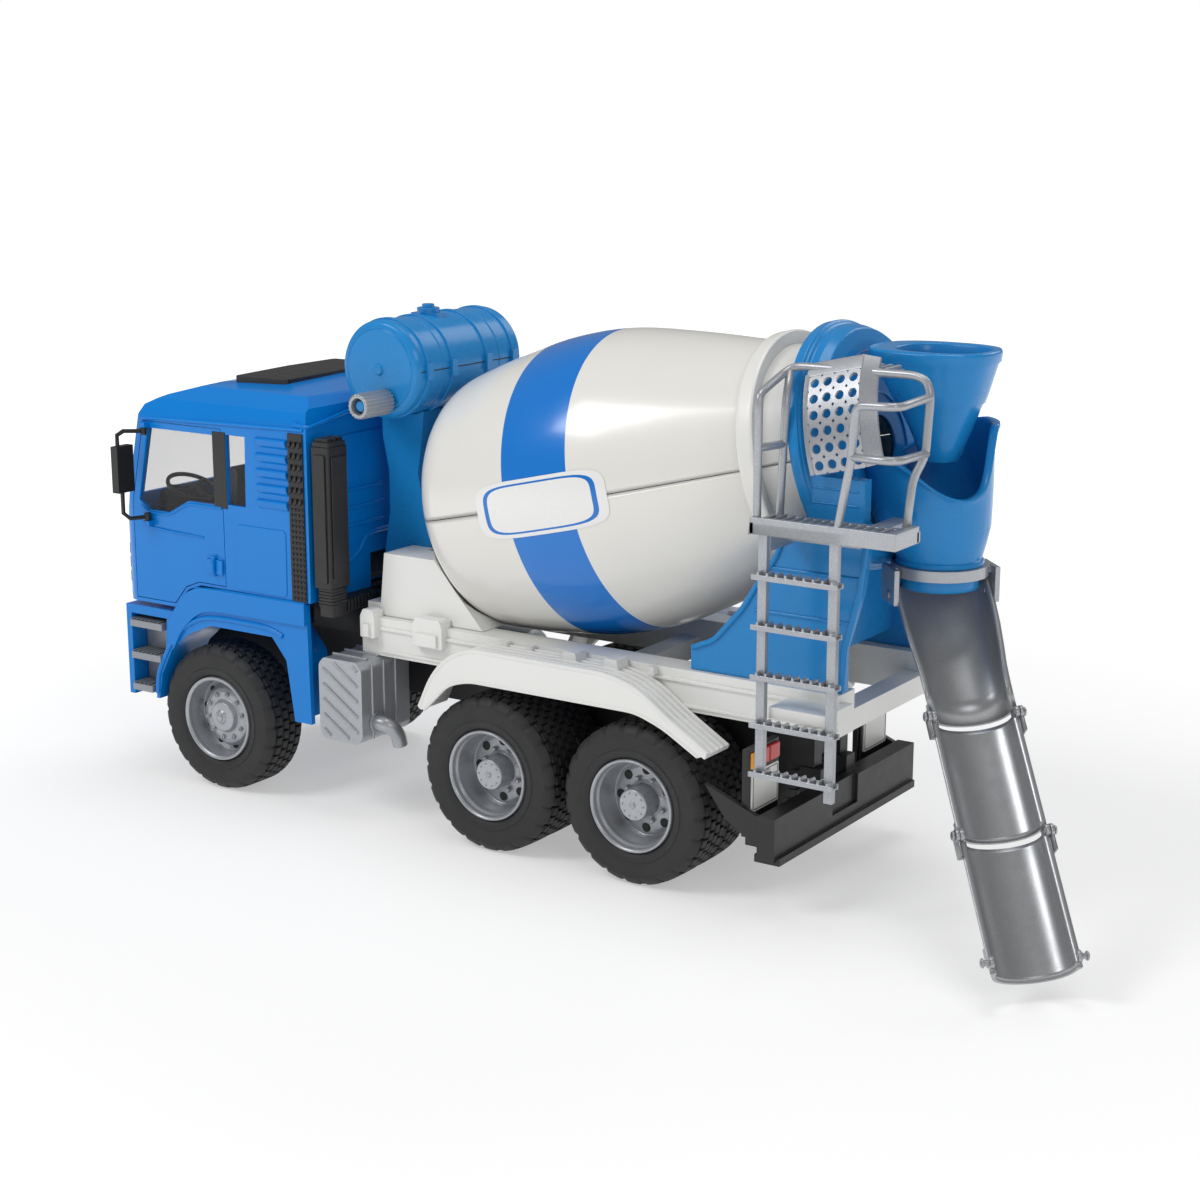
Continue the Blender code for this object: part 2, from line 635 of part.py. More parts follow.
def drive_housing():
    outer = [(84, 111.3), (118, 111.3), (118, 140), (112.6, 163), (108, 186), (111, 205), (113, 224),
             (84, 230), (84, 205), (88, 186), (88, 163), (84, 140)]
    inner = [(88, 105), (114, 105), (114, 139), (108.6, 163), (104.6, 186), (107, 205), (115, 240),
             (92, 240), (92, 205), (92, 186), (92, 163), (88, 139)]
    shape = cut(side_plate(outer, -24, 24), side_plate(inner, -20, 20))
    tank_seat = rod((TANK_X, -60, TANK_Z), (TANK_X, 60, TANK_Z), TANK_R + GAP, 28)
    bearing = in_drum_frame(rod((0, 0, -30), (0, 0, 6), 5 + GAP, 24))
    flange = in_drum_frame(rod((0, 0, -2.6), (0, 0, 6), 15, 24))
    put("drive_housing", cut(shape, tank_seat, bearing, flange), BODY_BLUE, TRUCK)


def pedestal():
    block = side_plate([(92, DECK_TOP + GAP), (92, 118), (101, 118), (104, 146), (138, 146), (170, DECK_TOP + GAP)],
                       -49.6, 49.6)
    room = in_drum_frame(turned([(0, -8)] + [(r + 1.5, s - 1.5) for s, r in DRUM_BELLY] + [(0, 256)],
                                Matrix.Identity(4), 36))
    slot = box((83, 119), (-24.4, 24.4), (100, 150))
    wing = box((119, 180), (-30, 30), (100, 150))
    body = cut(block, room, slot, wing)
    tie = box((119 + GAP, 128), (-34, 34), (DECK_TOP + GAP, 116))
    put("drum_pedestal", joined(body, tie), WHITE, TRUCK)


def tank():
    """Two closed half shells: the lower one has an opening over the drive housing and a hole for the crank."""
    end, skin = TANK_HALF + 3, 2.0
    outer = [(0, -end), (20, 0.8 - end), (TANK_R - 1.5, 2.7 - end), (TANK_R, 4 - end),
             (TANK_R, end - 4), (TANK_R - 1.5, end - 2.7), (20, end - 0.8), (0, end)]
    inner = [(0, skin - end), (TANK_R - skin, 5 - end), (TANK_R - skin, end - 5), (0, end - skin)]
    for name, z in (("upper", (TANK_Z + 0.15, TANK_Z + 40)), ("lower", (TANK_Z - 40, TANK_Z - 0.15))):
        solid, hollow = turned(outer, along_y(TANK_X, TANK_Z), 28), turned(inner, along_y(TANK_X, TANK_Z), 28)
        half = cut(common(solid, box((60, 140), (-60, 60), z)), hollow)
        if name == "lower":
            half = cut(half, rod((UPRIGHT_X, 0, 210), (UPRIGHT_X, 0, 236), 7.5, 20),
                       rod((CRANK_X, -60, CRANK_Z), (CRANK_X, -30, CRANK_Z), 2 + GAP, 14))
        else:
            filler = turned([(0, 268), (9, 268), (9, 274.5), (8, 275.5), (0, 275.5)], at(TANK_X, -4, 0), 12)
            half = joined(half, filler)
        put(f"tank_shell_{name}", half, BODY_BLUE, TRUCK)


def drive():
    crank = pivot("crank_axis", (CRANK_X, 0, CRANK_Z), TRUCK)
    shaft = rod((CRANK_X, -69, CRANK_Z), (CRANK_X, -6.2, CRANK_Z), 2, 14)
    gear = rod((CRANK_X, -8.5, CRANK_Z), (CRANK_X, -6.2, CRANK_Z), 5.6, 20)
    put("crank_shaft", joined(shaft, gear), STEEL, crank)
    knob = turned([(2 + GAP, 50), (6.5, 50), (6.5, 70), (5.4, 71.5), (3.5, 71.5), (3.5, 69.5), (2 + GAP, 69.5)],
                  along_y(CRANK_X, CRANK_Z), 20)
    left = mirrored(knob)
    bpy.data.objects.remove(knob, do_unlink=True)
    put("turning_knob", left, SILVER, crank)
    upright = pivot("drive_shaft_axis", (UPRIGHT_X, 0, 200), TRUCK)
    parts = [rod((UPRIGHT_X, 0, low), (UPRIGHT_X, 0, high), radius)
             for low, high, radius in ((168.9, 222.2, 1.8), (219.9, 222.2, 5.6), (168.9, 171, 2.3))]
    put("upright_drive_shaft", joined(*parts), STEEL, upright)


# ---------------------------------------------------------------- rear end

def rear_stand():
    side_view = [(300, DECK_TOP + GAP), (300, 122), (312, 127), (328, 145), (338, 161), (346, 172),
                 (353, 189.5), (396, 189.5), (392, 160), (384, 132), (384, DECK_TOP + GAP)]
    parts = [side_plate(side_view, *sorted((side * 46, side * 52))) for side in (-1, 1)]
    parts.append(box((352, 361), (-48, 48), (120, 156)))
    reach = RING_R + ROLLER_R + 0.35
    bores = []
    for side in (-1, 1):
        down, across = reach * math.cos(ROLLER_ANGLE), side * reach * math.sin(ROLLER_ANGLE)
        parts.append(in_drum_frame(box((down - 5, down + 14), (across - 5, across + 5), (231, 234))))
        bores.append(in_drum_frame(rod((down, across, 225), (down, across, 240), 2 + GAP, 14)))
    cap_seat = in_drum_frame(rod((0, 0, 249), (0, 0, 268), 61.5, 32))
    put("rear_stand", cut(joined(*parts), cap_seat, *bores), BODY_BLUE, TRUCK)


def mouth_cap():
    ring = turned([(57, 252), (61, 252), (61, 263), (56, 266.5), (15, 266.5), (15, 264), (54, 264), (57, 261)],
                  Matrix.Identity(4), 26)
    window = box((16, 70), (-30, 30), (257, 275))
    cap = in_drum_frame(cut(ring, window))
    blocks = [box((366, 396), sorted((side * 51, side * 58)), (189.8, 216)) for side in (-1, 1)]
    put("drum_mouth_cap", joined(cap, *blocks), BODY_BLUE, TRUCK)


def hopper():
    funnel = duct([(401, 272, 0.0, 30, 25), (403, 262, 0.0, 27, 22.5), (405, 248, math.radians(8), 18, 17),
                   (402, 236, math.radians(40), 13, 13), (392, 229, math.radians(72), 11.5, 12),
                   (378, 226.6, math.radians(80), 11, 12)], 2.0)
    put("hopper", funnel, BODY_BLUE, TRUCK)


def discharge_spout():
    funnel = duct([(399, 237, 0.0, 32, 32), (400, 205, 0.0, 31.5, 31.5), (403, 186, 0.0, 28, 28),
                   (OUTLET_X, 171, 0.0, 19, 19), (OUTLET_X, 159, 0.0, 19, 19)], 2.2, 20)
    notch = rod((405, -60, 228), (405, -8, 228), 22, 20)
    front = box((355, 380), (-60, 60), (198, 240))
    put("discharge_spout", cut(funnel, notch, front), BODY_BLUE, TRUCK)


def platform():
    deck = plate([(350, -84), (425, -84), (425, -60), (398, -60), (398, -58.6), (350, -58.6)], 192, 196, TOP)
    slots = [box((x, x + 3.2), (-80, -62.5), (188, 200)) for x in range(355, 420, 7)]
    arm = box((399, 409), (-61, -34), (191, 195.7))
    put("platform", cut(joined(deck, arm), *slots), SILVER, TRUCK)


def guard_rail():
    r, floor = 1.6, 196 + GAP
    inner = tube([(352.5, -81, floor), (352.5, -81, 252), (352, -79, 255.5), (350, -55, 261.5),
                  (352, -50, 264), (356, -48.5, 265), (415, -48.5, 265), (421, -49, 263), (423.5, -50, 257),
                  (423.5, -53, 230), (419.5, -57, 219), (419.5, -62.5, floor)], r)
    outer = tube([(394.5, -82, floor), (401, -82, 231), (402, -82, 251), (404, -82, 254.5), (419, -83, 255),
                  (423.5, -80, 255), (423.5, -50.6, 256)], r)
    middle = tube([(400.5, -82, 231), (419, -83, 231), (423.5, -80, 231), (423.5, -52.5, 230.5)], r)
    post = tube([(355, -64, floor), (355, -60, 250), (352.5, -52, 263)], r)
    cross = tube([(352.5, -81, 230.5), (355, -60.5, 230)], r)
    put("guard_rail", joined(inner, outer, middle, post, cross), SILVER, TRUCK)


def perforated_panel():
    """A punched shield that curves round the side of the mouth cap, with a step along its top."""
    inner_r, outer_r = 63.5, 65.5
    angles = [math.radians(-6 + 40 * i / 6) for i in range(7)]
    arc = [(-outer_r * math.sin(a), -outer_r * math.cos(a)) for a in angles]
    arc += [(-inner_r * math.sin(a), -inner_r * math.cos(a)) for a in angles[::-1]]
    shield = plate(arc, 262, 290, TOP)
    holes = []
    for row in range(5):
        a = math.radians(-1.5 + 7.2 * row)
        out = Vector((-math.sin(a), -math.cos(a), 0))
        for column in range(4):
            place = Vector((0, 0, 266.5 + 6.2 * column))
            holes.append(rod(out * 58 + place, out * 72 + place, 1.9, 6))
    shield = in_drum_frame(cut(shield, *holes))
    put("perforated_panel", shield, SILVER, TRUCK)


def ladder():
    rails = [box((x - 2.3, x + 2.3), (-80.5, -77.5), (low, 191.6)) for x, low in ((355.5, 76), (392.5, 68))]
    rungs = [box((351.5, 396.5), (-84, -77), (z - 2, z + 2)) for z in (170.7, 146.7, 122.5, 99, 74.8)]
    put("ladder", joined(*rails, *rungs), SILVER, TRUCK)


# ---------------------------------------------------------------- chute

HEADING = Vector((math.cos(CHUTE_SWING), -math.sin(CHUTE_SWING), 0))
ACROSS = Vector((math.sin(CHUTE_SWING), math.cos(CHUTE_SWING), 0))
DOWN_SLOPE = HEADING * math.cos(CHUTE_SLOPE) - Vector((0, 0, math.sin(CHUTE_SLOPE)))
OUT_OF_SLOPE = HEADING * math.sin(CHUTE_SLOPE) + Vector((0, 0, math.cos(CHUTE_SLOPE)))
CHUTE_ORIGIN = Vector((OUTLET_X, 0, 0)) + HEADING * CHUTE_TOP[0] + Vector((0, 0, CHUTE_TOP[1]))
HINGE_LIFT = 0.8
TILT_AXIS = (6.0, -4.0)


def on_chute(t, v, w):
    """A point t along the slope, v across it and w out of it, from the middle of the trough's upper edge."""
    return CHUTE_ORIGIN + DOWN_SLOPE * t + ACROSS * v + OUT_OF_SLOPE * w


def chute_frame():
    """Local X runs across the chute, Y out of it and Z back up it."""
    frame = Matrix.Identity(4)
    for column, direction in enumerate((ACROSS, OUT_OF_SLOPE, -DOWN_SLOPE)):
        for row in range(3):
            frame[row][column] = direction[row]
    frame.translation = CHUTE_ORIGIN * MM
    return frame


def slope_box(t, v, w):
    shape = box(v, w, (-t[1], -t[0]))
    shape.data.transform(chute_frame())
    return shape


def trough(t0, t1, top_half=CHUTE_HALF):
    """A U-shaped wall between two places along the chute, which may be wider at its top end."""
    wall, steps = 1.7, 9
    shape = bmesh.new()
    rings = []
    for t, half in ((t0, top_half), (t1, CHUTE_HALF)):
        curves = []
        for shrink in (0.0, wall):
            turns = [math.pi * k / steps for k in range(steps + 1)]
            curves.append([on_chute(t, -(half - shrink) * math.cos(a), -(CHUTE_DEPTH - shrink) * math.sin(a))
                           for a in turns])
        rings.append([shape.verts.new(place * MM) for place in curves[0] + curves[1][::-1]])
    count = len(rings[0])
    for k in range(count):
        after = (k + 1) % count
        shape.faces.new((rings[0][k], rings[0][after], rings[1][after], rings[1][k]))
    for ring in rings:
        for k in range(steps):
            shape.faces.new((ring[k], ring[k + 1], ring[count - 2 - k], ring[count - 1 - k]))
    bmesh.ops.recalc_face_normals(shape, faces=shape.faces)
    return from_bmesh(shape)


def chute_pin(t, w, v0, v1, radius):
    return rod(on_chute(t, v0, w), on_chute(t, v1, w), radius, 8)


def lower_knuckles(t):
    """Ears with pins at the lower end of a segment, which the next one swings on."""
    parts = []
    for side in (-1, 1):
        parts.append(slope_box((t - 7.6, t + 0.2), sorted((side * 17.7, side * 20.1)), (-5.2, -1.1)))
        parts.append(chute_pin(t, HINGE_LIFT, side * 18.8, side * 20.3, 2.6))
        parts.append(chute_pin(t, HINGE_LIFT, side * 19, side * 23.6, 1.4))
    return parts


def upper_knuckles(t):
    """Ears at the upper end of an extension, outside the ears of the segment above."""
    parts = []
    for side in (-1, 1):
        parts.append(chute_pin(t, HINGE_LIFT, side * 20.7, side * 22.3, 2.7))
        parts.append(slope_box((t + 0.5, t + 9), sorted((side * 20.9, side * 22.1)), (-3.5, 1.5)))
        parts.append(slope_box((t + 4.6, t + 8.6), sorted((side * 17.7, side * 21.8)), (-4.6, -1.2)))
    return parts


def chute():
    swing = pivot("chute_swing_axis", (OUTLET_X, 0, 165), TRUCK)
    ring = turned([(19.4, 163.6), (23.5, 163.6), (23.5, 169), (19.4, 169)], at(OUTLET_X, 0, 0), 24)
    tilt_point = on_chute(TILT_AXIS[0], 0, TILT_AXIS[1])
    lugs = []
    for side in (-1, 1):
        centre = Vector((OUTLET_X, 0, 0)) + ACROSS * side * 25.2
        lug = box((-8, 12), (-1.2, 1.2), (tilt_point.z - 4, 168))
        lug.data.transform(Matrix.Translation((centre * MM)) @ Matrix.Rotation(-CHUTE_SWING, 4, "Z"))
        bridge = box((-5, 5), (-4.5, 0) if side > 0 else (0, 4.5), (164, 168))
        bridge.data.transform(Matrix.Translation((centre * MM)) @ Matrix.Rotation(-CHUTE_SWING, 4, "Z"))
        lugs += [lug, bridge]
    ring = joined(ring, *lugs)
    ring = cut(ring, chute_pin(*TILT_AXIS, -30, 30, 2.2 + GAP))
    put("chute_swivel", ring, SILVER, swing)

    tilt = pivot("chute_tilt_axis", tilt_point, swing)
    pins = [chute_pin(*TILT_AXIS, side * 20.2, side * 27.2, 2.2) for side in (-1, 1)]
    main = joined(trough(0, MAIN_LENGTH - 1.6, CHUTE_TOP_HALF), *pins, *lower_knuckles(MAIN_LENGTH))
    put("chute_main", main, CHUTE_METAL, tilt)

    holder = tilt
    for number, start in enumerate((MAIN_LENGTH, MAIN_LENGTH + EXTENSION_PITCH), 1):
        holder = pivot(f"extension_{number}_axis", on_chute(start, 0, HINGE_LIFT), holder)
        end = start + EXTENSION_PITCH
        last = end - 1.6 if number == 1 else end + 5
        segment = joined(trough(start + 1.6, last), *upper_knuckles(start), *lower_knuckles(end))
        segment = cut(segment, chute_pin(start, HINGE_LIFT, -30, 30, 1.4 + GAP))
        put(f"chute_extension_{number}", segment, CHUTE_METAL, holder)


# ---------------------------------------------------------------- assembly

def centre_on_footprint():
    """Moves the whole toy so that the origin is on the ground under the middle of its box."""
    bpy.context.view_layer.update()
    corners = [piece.matrix_world @ Vector(corner) for piece in MODEL.objects if piece.type == "MESH"
               for corner in piece.bound_box]
    low = [min(c[k] for c in corners) for k in range(3)]
    high = [max(c[k] for c in corners) for k in range(3)]
    TRUCK.location = (-(low[0] + high[0]) / 2, -(low[1] + high[1]) / 2, -low[2])


chassis()
axle("front_axle", 0, False)
for index, axle_x in enumerate(REAR_AXLE_X, 1):
    axle(f"rear_axle_{index}", axle_x, True)
for which, sign in SIDES:
    wheel(f"{which}_front_wheel", which, sign, 0, FRONT_TYRE_WIDTH)
    for index, axle_x in enumerate(REAR_AXLE_X, 1):
        wheel(f"{which}_rear_wheel_{index}", which, sign, axle_x, REAR_TYRE_WIDTH)
    steps(which, sign)
    rear_fender(which, sign)
    cab_side(which, sign)
fairing()
engine()
silencer()
intake_stack()
mixer_subframe()
rear_bumper()
cab_shell()
cab_fittings()
drum()
rollers()
drive_housing()
pedestal()
tank()
drive()
rear_stand()
mouth_cap()
hopper()
discharge_spout()
platform()
guard_rail()
perforated_panel()
ladder()
chute()
centre_on_footprint()
WORKSHOP.hide_render = True
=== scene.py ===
import json
import math

import bmesh
import bpy
import numpy as np
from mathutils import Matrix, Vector

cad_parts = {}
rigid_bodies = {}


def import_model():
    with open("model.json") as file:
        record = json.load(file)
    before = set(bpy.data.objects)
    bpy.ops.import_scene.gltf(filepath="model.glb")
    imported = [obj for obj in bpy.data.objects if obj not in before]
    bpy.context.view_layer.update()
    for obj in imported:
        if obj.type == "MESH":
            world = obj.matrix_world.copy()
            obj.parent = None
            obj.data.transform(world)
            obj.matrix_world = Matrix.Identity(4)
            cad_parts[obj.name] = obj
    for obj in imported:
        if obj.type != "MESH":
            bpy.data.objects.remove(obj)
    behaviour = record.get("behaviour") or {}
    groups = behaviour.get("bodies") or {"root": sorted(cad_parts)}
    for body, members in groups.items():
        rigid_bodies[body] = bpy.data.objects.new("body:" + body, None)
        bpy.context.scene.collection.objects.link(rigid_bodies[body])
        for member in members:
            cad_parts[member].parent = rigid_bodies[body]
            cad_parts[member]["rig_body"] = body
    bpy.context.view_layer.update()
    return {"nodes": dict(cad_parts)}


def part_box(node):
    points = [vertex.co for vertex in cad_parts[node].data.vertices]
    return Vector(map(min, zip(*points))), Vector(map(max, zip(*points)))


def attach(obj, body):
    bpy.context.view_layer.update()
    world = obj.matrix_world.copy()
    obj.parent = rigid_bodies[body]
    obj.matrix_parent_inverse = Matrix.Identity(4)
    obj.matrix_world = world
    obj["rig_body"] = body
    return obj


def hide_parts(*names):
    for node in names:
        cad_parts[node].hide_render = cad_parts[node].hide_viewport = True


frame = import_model()

# The truck's own zero: under the front axle, on the middle plane, on the ground.
# Lengths below are in mm from there.
tyreLow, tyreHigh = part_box("left_front_wheel_tyre")
axleLow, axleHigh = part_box("rear_axle_1")
truckZero = np.array([(tyreLow.x + tyreHigh.x) / 2, (axleLow.y + axleHigh.y) / 2, 0.0])
print("frame loaded, truck zero", truckZero.round(4))


# ---- shapes: each function returns (points in mm, faces)

def gridFaces(rows, cols, wrapRows=False, wrapCols=False, start=0):
    # quads between neighbours of a rows x cols grid, closed in either direction if asked
    r, c = np.meshgrid(np.arange(rows if wrapRows else rows - 1), np.arange(cols if wrapCols else cols - 1),
        indexing="ij")
    r2, c2 = (r + 1) % rows, (c + 1) % cols
    quads = np.stack([r * cols + c, r * cols + c2, r2 * cols + c2, r2 * cols + c], -1)
    return (quads.reshape(-1, 4) + start).tolist()


def together(*shapes):
    # several shapes as one, their faces renumbered
    points, faces, count = [], [], 0
    for shapePoints, shapeFaces in shapes:
        points.append(shapePoints)
        faces += [[i + count for i in face] for face in shapeFaces]
        count += len(shapePoints)
    return np.concatenate(points), faces


def softened(points, cut=0.8, steps=3, closed=False):
    # each corner becomes a short quadratic curve between points "cut" away along its two sides
    p = np.asarray(points, float)
    before, after = np.roll(p, 1, 0), np.roll(p, -1, 0)
    def side(other):
        d = other - p
        length = np.linalg.norm(d, axis=1, keepdims=True) + 1e-9
        return p + d / length * np.minimum(cut, 0.45 * length)
    a, b = side(before), side(after)
    t = np.linspace(0, 1, steps)[None, :, None]
    curve = (1 - t) ** 2 * a[:, None] + 2 * t * (1 - t) * p[:, None] + t ** 2 * b[:, None]
    if closed:
        return curve.reshape(-1, p.shape[1])
    return np.concatenate([p[:1], curve[1:-1].reshape(-1, p.shape[1]), p[-1:]])


def smoothCurve(knots, each=8):
    # a Catmull-Rom curve through the knots, "each" points to a span
    k = np.asarray(knots, float)
    k = np.concatenate([2 * k[:1] - k[1:2], k, 2 * k[-1:] - k[-2:-1]])
    t = (np.arange(each) / each)[None, :, None]
    a, b, c, d = (k[i:len(k) - 3 + i, None] for i in range(4))
    curve = 0.5 * (2 * b + (c - a) * t + (2 * a - 5 * b + 4 * c - d) * t ** 2
        + (3 * b - a - 3 * c + d) * t ** 3)
    return np.concatenate([curve.reshape(-1, k.shape[1]), k[-2:-1]])


def unit(v):
    v = np.asarray(v, float)
    return v / np.linalg.norm(v)


def crossAxes(axis):
    # two directions square to the axis and to each other
    axis = unit(axis)
    u = unit(np.cross(axis, [0, 0, 1] if abs(axis[2]) < 0.9 else [1, 0, 0]))
    return u, np.cross(axis, u)


def lathe(profile, origin, axis, steps=64, closed=False, sweep=(0, 360), axes=None):
    # profile points (radius, distance along the axis) carried round the axis; closed joins the profile's ends
    profile = np.asarray(profile, float)
    u, v = axes or crossAxes(axis)
    whole = sweep[1] - sweep[0] >= 360
    turn = np.radians(np.linspace(*sweep, steps, endpoint=not whole))
    ring = np.cos(turn)[:, None] * u + np.sin(turn)[:, None] * v
    points = np.asarray(origin, float) + profile[None, :, 1:2] * unit(axis) + profile[None, :, :1] * ring[:,
        None]
    cols = len(profile)
    faces = gridFaces(steps, cols, whole, closed)
    if closed and not whole:
        faces += [list(range(cols))[::-1], list(range((steps - 1) * cols, steps * cols))]
    return points.reshape(-1, 3), faces


def alongY(x, z):
    # a frame for things turned about a line across the truck
    return dict(origin=(x, 0, z), axis=(0, 1, 0), axes=(np.array([1.0, 0, 0]), np.array([0, 0, 1.0])))


def pipe(path, radius, sides=12, bend=5.0, steps=5, closed=False, squash=1.0):
    # a circle carried along a path whose corners are rounded, turned as little as possible on the way
    p = softened(path, bend, steps, closed)
    p = p[np.concatenate([[True], np.linalg.norm(np.diff(p, axis=0), axis=1) > 1e-4])]
    after, before = (np.roll(p, -1, 0), np.roll(p, 1, 0))
    tangent = after - before
    if not closed:
        tangent[0], tangent[-1] = p[1] - p[0], p[-1] - p[-2]
    tangent /= np.linalg.norm(tangent, axis=1, keepdims=True)
    normal = crossAxes(tangent[0])[0]
    rings = []
    turn = np.linspace(0, 2 * np.pi, sides, endpoint=False)
    for place, along in zip(p, tangent):
        normal = unit(normal - along * np.dot(normal, along))
        rings.append(place + radius * (np.cos(turn)[:, None] * normal * squash
            + np.sin(turn)[:, None] * np.cross(along, normal)))
    faces = gridFaces(len(p), sides, closed, True)
    if not closed:
        faces += [list(range(sides))[::-1], list(range((len(p) - 1) * sides, len(p) * sides))]
    return np.concatenate(rings), faces


def rod(start, end, radius, sides=16):
    # a straight round bar with its end edges broken
    start, end = np.asarray(start, float), np.asarray(end, float)
    length = np.linalg.norm(end - start)
    edge = min(0.25, length / 4, radius / 3)
    profile = [(0, 0), (radius - edge, 0), (radius, edge), (radius, length - edge), (radius - edge, length),
        (0, length)]
    return lathe(profile, start, end - start, sides)


def block(x, y, z):
    # a box between the given limits
    corner = np.array([[x[i], y[j], z[k]] for i in (0, 1) for j in (0, 1) for k in (0, 1)], float)
    return corner, [[0, 1, 3, 2], [4, 6, 7, 5], [0, 4, 5, 1], [2, 3, 7, 6], [0, 2, 6, 4], [1, 5, 7, 3]]


def out(side, low, high):
    # the limits of a block across the truck, counted outwards on the side given
    return sorted((side * low, side * high))


def slab(outline, low, high, plane="xz", cut=0.0, steps=4):
    # an outline given a thickness across its plane; its corners are rounded by "cut"
    o = softened(outline, cut, steps, True) if cut else np.asarray(outline, float)
    n = len(o)
    layers = []
    for level in (low, high):
        flat = np.full(n, float(level))
        columns = {"xz": (o[:, 0], flat, o[:, 1]), "xy": (o[:, 0], o[:, 1], flat),
            "yz": (flat, o[:, 0], o[:, 1])}
        layers.append(np.stack(columns[plane], -1))
    return np.concatenate(layers), gridFaces(2, n, False, True) + [list(range(n))[::-1],
        list(range(n, 2 * n))]


def loft(sections):
    # closed rings of equal length joined one to the next
    rings = np.asarray(sections, float)
    rows, cols = rings.shape[:2]
    faces = gridFaces(rows, cols, False, True)
    return rings.reshape(-1, 3), faces + [list(range(cols))[::-1],
        list(range((rows - 1) * cols, rows * cols))]


def finishPiece(piece, body, standsFor=(), bevel=0.0):
    piece.data.polygons.foreach_set("use_smooth", np.ones(len(piece.data.polygons), bool))
    if bevel:
        rounding = piece.modifiers.new("edges", "BEVEL")
        rounding.width, rounding.segments, rounding.limit_method = bevel * 0.001, 2, "ANGLE"
        rounding.angle_limit, rounding.use_clamp_overlap = math.radians(32), True
    piece.modifiers.new("shading", "WEIGHTED_NORMAL").keep_sharp = True
    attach(piece, body)
    if standsFor:
        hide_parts(*([standsFor] if isinstance(standsFor, str) else standsFor))


def make(name, shape, finish, body, standsFor=(), bevel=0.0, sharp=None, uv=None):
    # puts a shape into the scene in metres, with doubles merged and faces pointing outwards
    points, faces = shape
    mesh = bpy.data.meshes.new(name)
    mesh.from_pydata((points * 0.001 + truckZero).tolist(), [], faces)
    if uv is not None:
        layer = mesh.uv_layers.new(name="pattern")
        corner = np.empty(len(mesh.loops), np.int32)
        mesh.loops.foreach_get("vertex_index", corner)
        layer.data.foreach_set("uv", np.asarray(uv, np.float32)[corner].ravel())
    work = bmesh.new()
    work.from_mesh(mesh)
    bmesh.ops.remove_doubles(work, verts=work.verts, dist=2e-6)
    bmesh.ops.recalc_face_normals(work, faces=work.faces)
    work.to_mesh(mesh)
    work.free()
    mesh.validate()
    mesh.materials.append(finishes[finish])
    piece = bpy.data.objects.new(name, mesh)
    bpy.context.scene.collection.objects.link(piece)
    finishPiece(piece, body, standsFor, bevel)
    if sharp:
        mesh.set_sharp_from_angle(angle=math.radians(sharp))


cabCorner = dict(front=-58.5, inside=60.0, blend=15.0, pull=0.062, cuts=(-58.5, -61.0, -63.5, -65.5))


def turnedIn(shape):
    # narrows the cab's front corners by the square of the distance past "front", in mm
    points, faces = shape
    points = points.copy()
    past = np.clip(cabCorner["front"] - points[:, 0], 0, None)
    share = np.clip((np.abs(points[:, 1]) - cabCorner["inside"]) / cabCorner["blend"], 0, 1)
    points[:, 1] -= np.sign(points[:, 1]) * cabCorner["pull"] * past ** 2 * share
    return points, faces


def refined(node, finish, bevel=0.35):
    # a CAD part's own solid with its doubles merged, flat faces joined and its edges rounded
    source = frame["nodes"][node]
    mesh = source.data.copy()
    mesh.name = node + "_fine"
    work = bmesh.new()
    work.from_mesh(mesh)
    bmesh.ops.remove_doubles(work, verts=work.verts, dist=4e-6)
    if not node.endswith("_door"):  # a face joined round the window opening would be filled across it
        bmesh.ops.dissolve_limit(work, angle_limit=math.radians(1.2), verts=work.verts, edges=work.edges)
    if node == "cab_shell":
        for x in cabCorner["cuts"]:
            bmesh.ops.bisect_plane(work, geom=[*work.verts, *work.edges, *work.faces],
                plane_co=(x * 0.001 + truckZero[0], 0, 0), plane_no=(1, 0, 0))
        bmesh.ops.triangulate(work, faces=work.faces)
        places = (np.array([vert.co for vert in work.verts]) - truckZero) * 1000
        for vert, place in zip(work.verts, turnedIn((places, None))[0] * 0.001 + truckZero):
            vert.co = place
    work.to_mesh(mesh)
    work.free()
    if mesh.has_custom_normals:
        mesh.normals_split_custom_set([(0, 0, 0)] * len(mesh.loops))
    mesh.materials.clear()
    mesh.materials.append(finishes[finish])
    piece = bpy.data.objects.new(node + "_fine", mesh)
    bpy.context.scene.collection.objects.link(piece)
    finishPiece(piece, source["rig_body"], node, bevel)


# ---- finishes

def node(tree, kind, at, **values):
    made = tree.nodes.new(kind)
    made.location = at
    for key, value in values.items():
        if key in made.inputs.keys():
            made.inputs[key].default_value = value
        else:
            setattr(made, key, value)
    return made


def link(tree, source, output, target, entry):
    tree.links.new(source.outputs[output], target.inputs[entry])


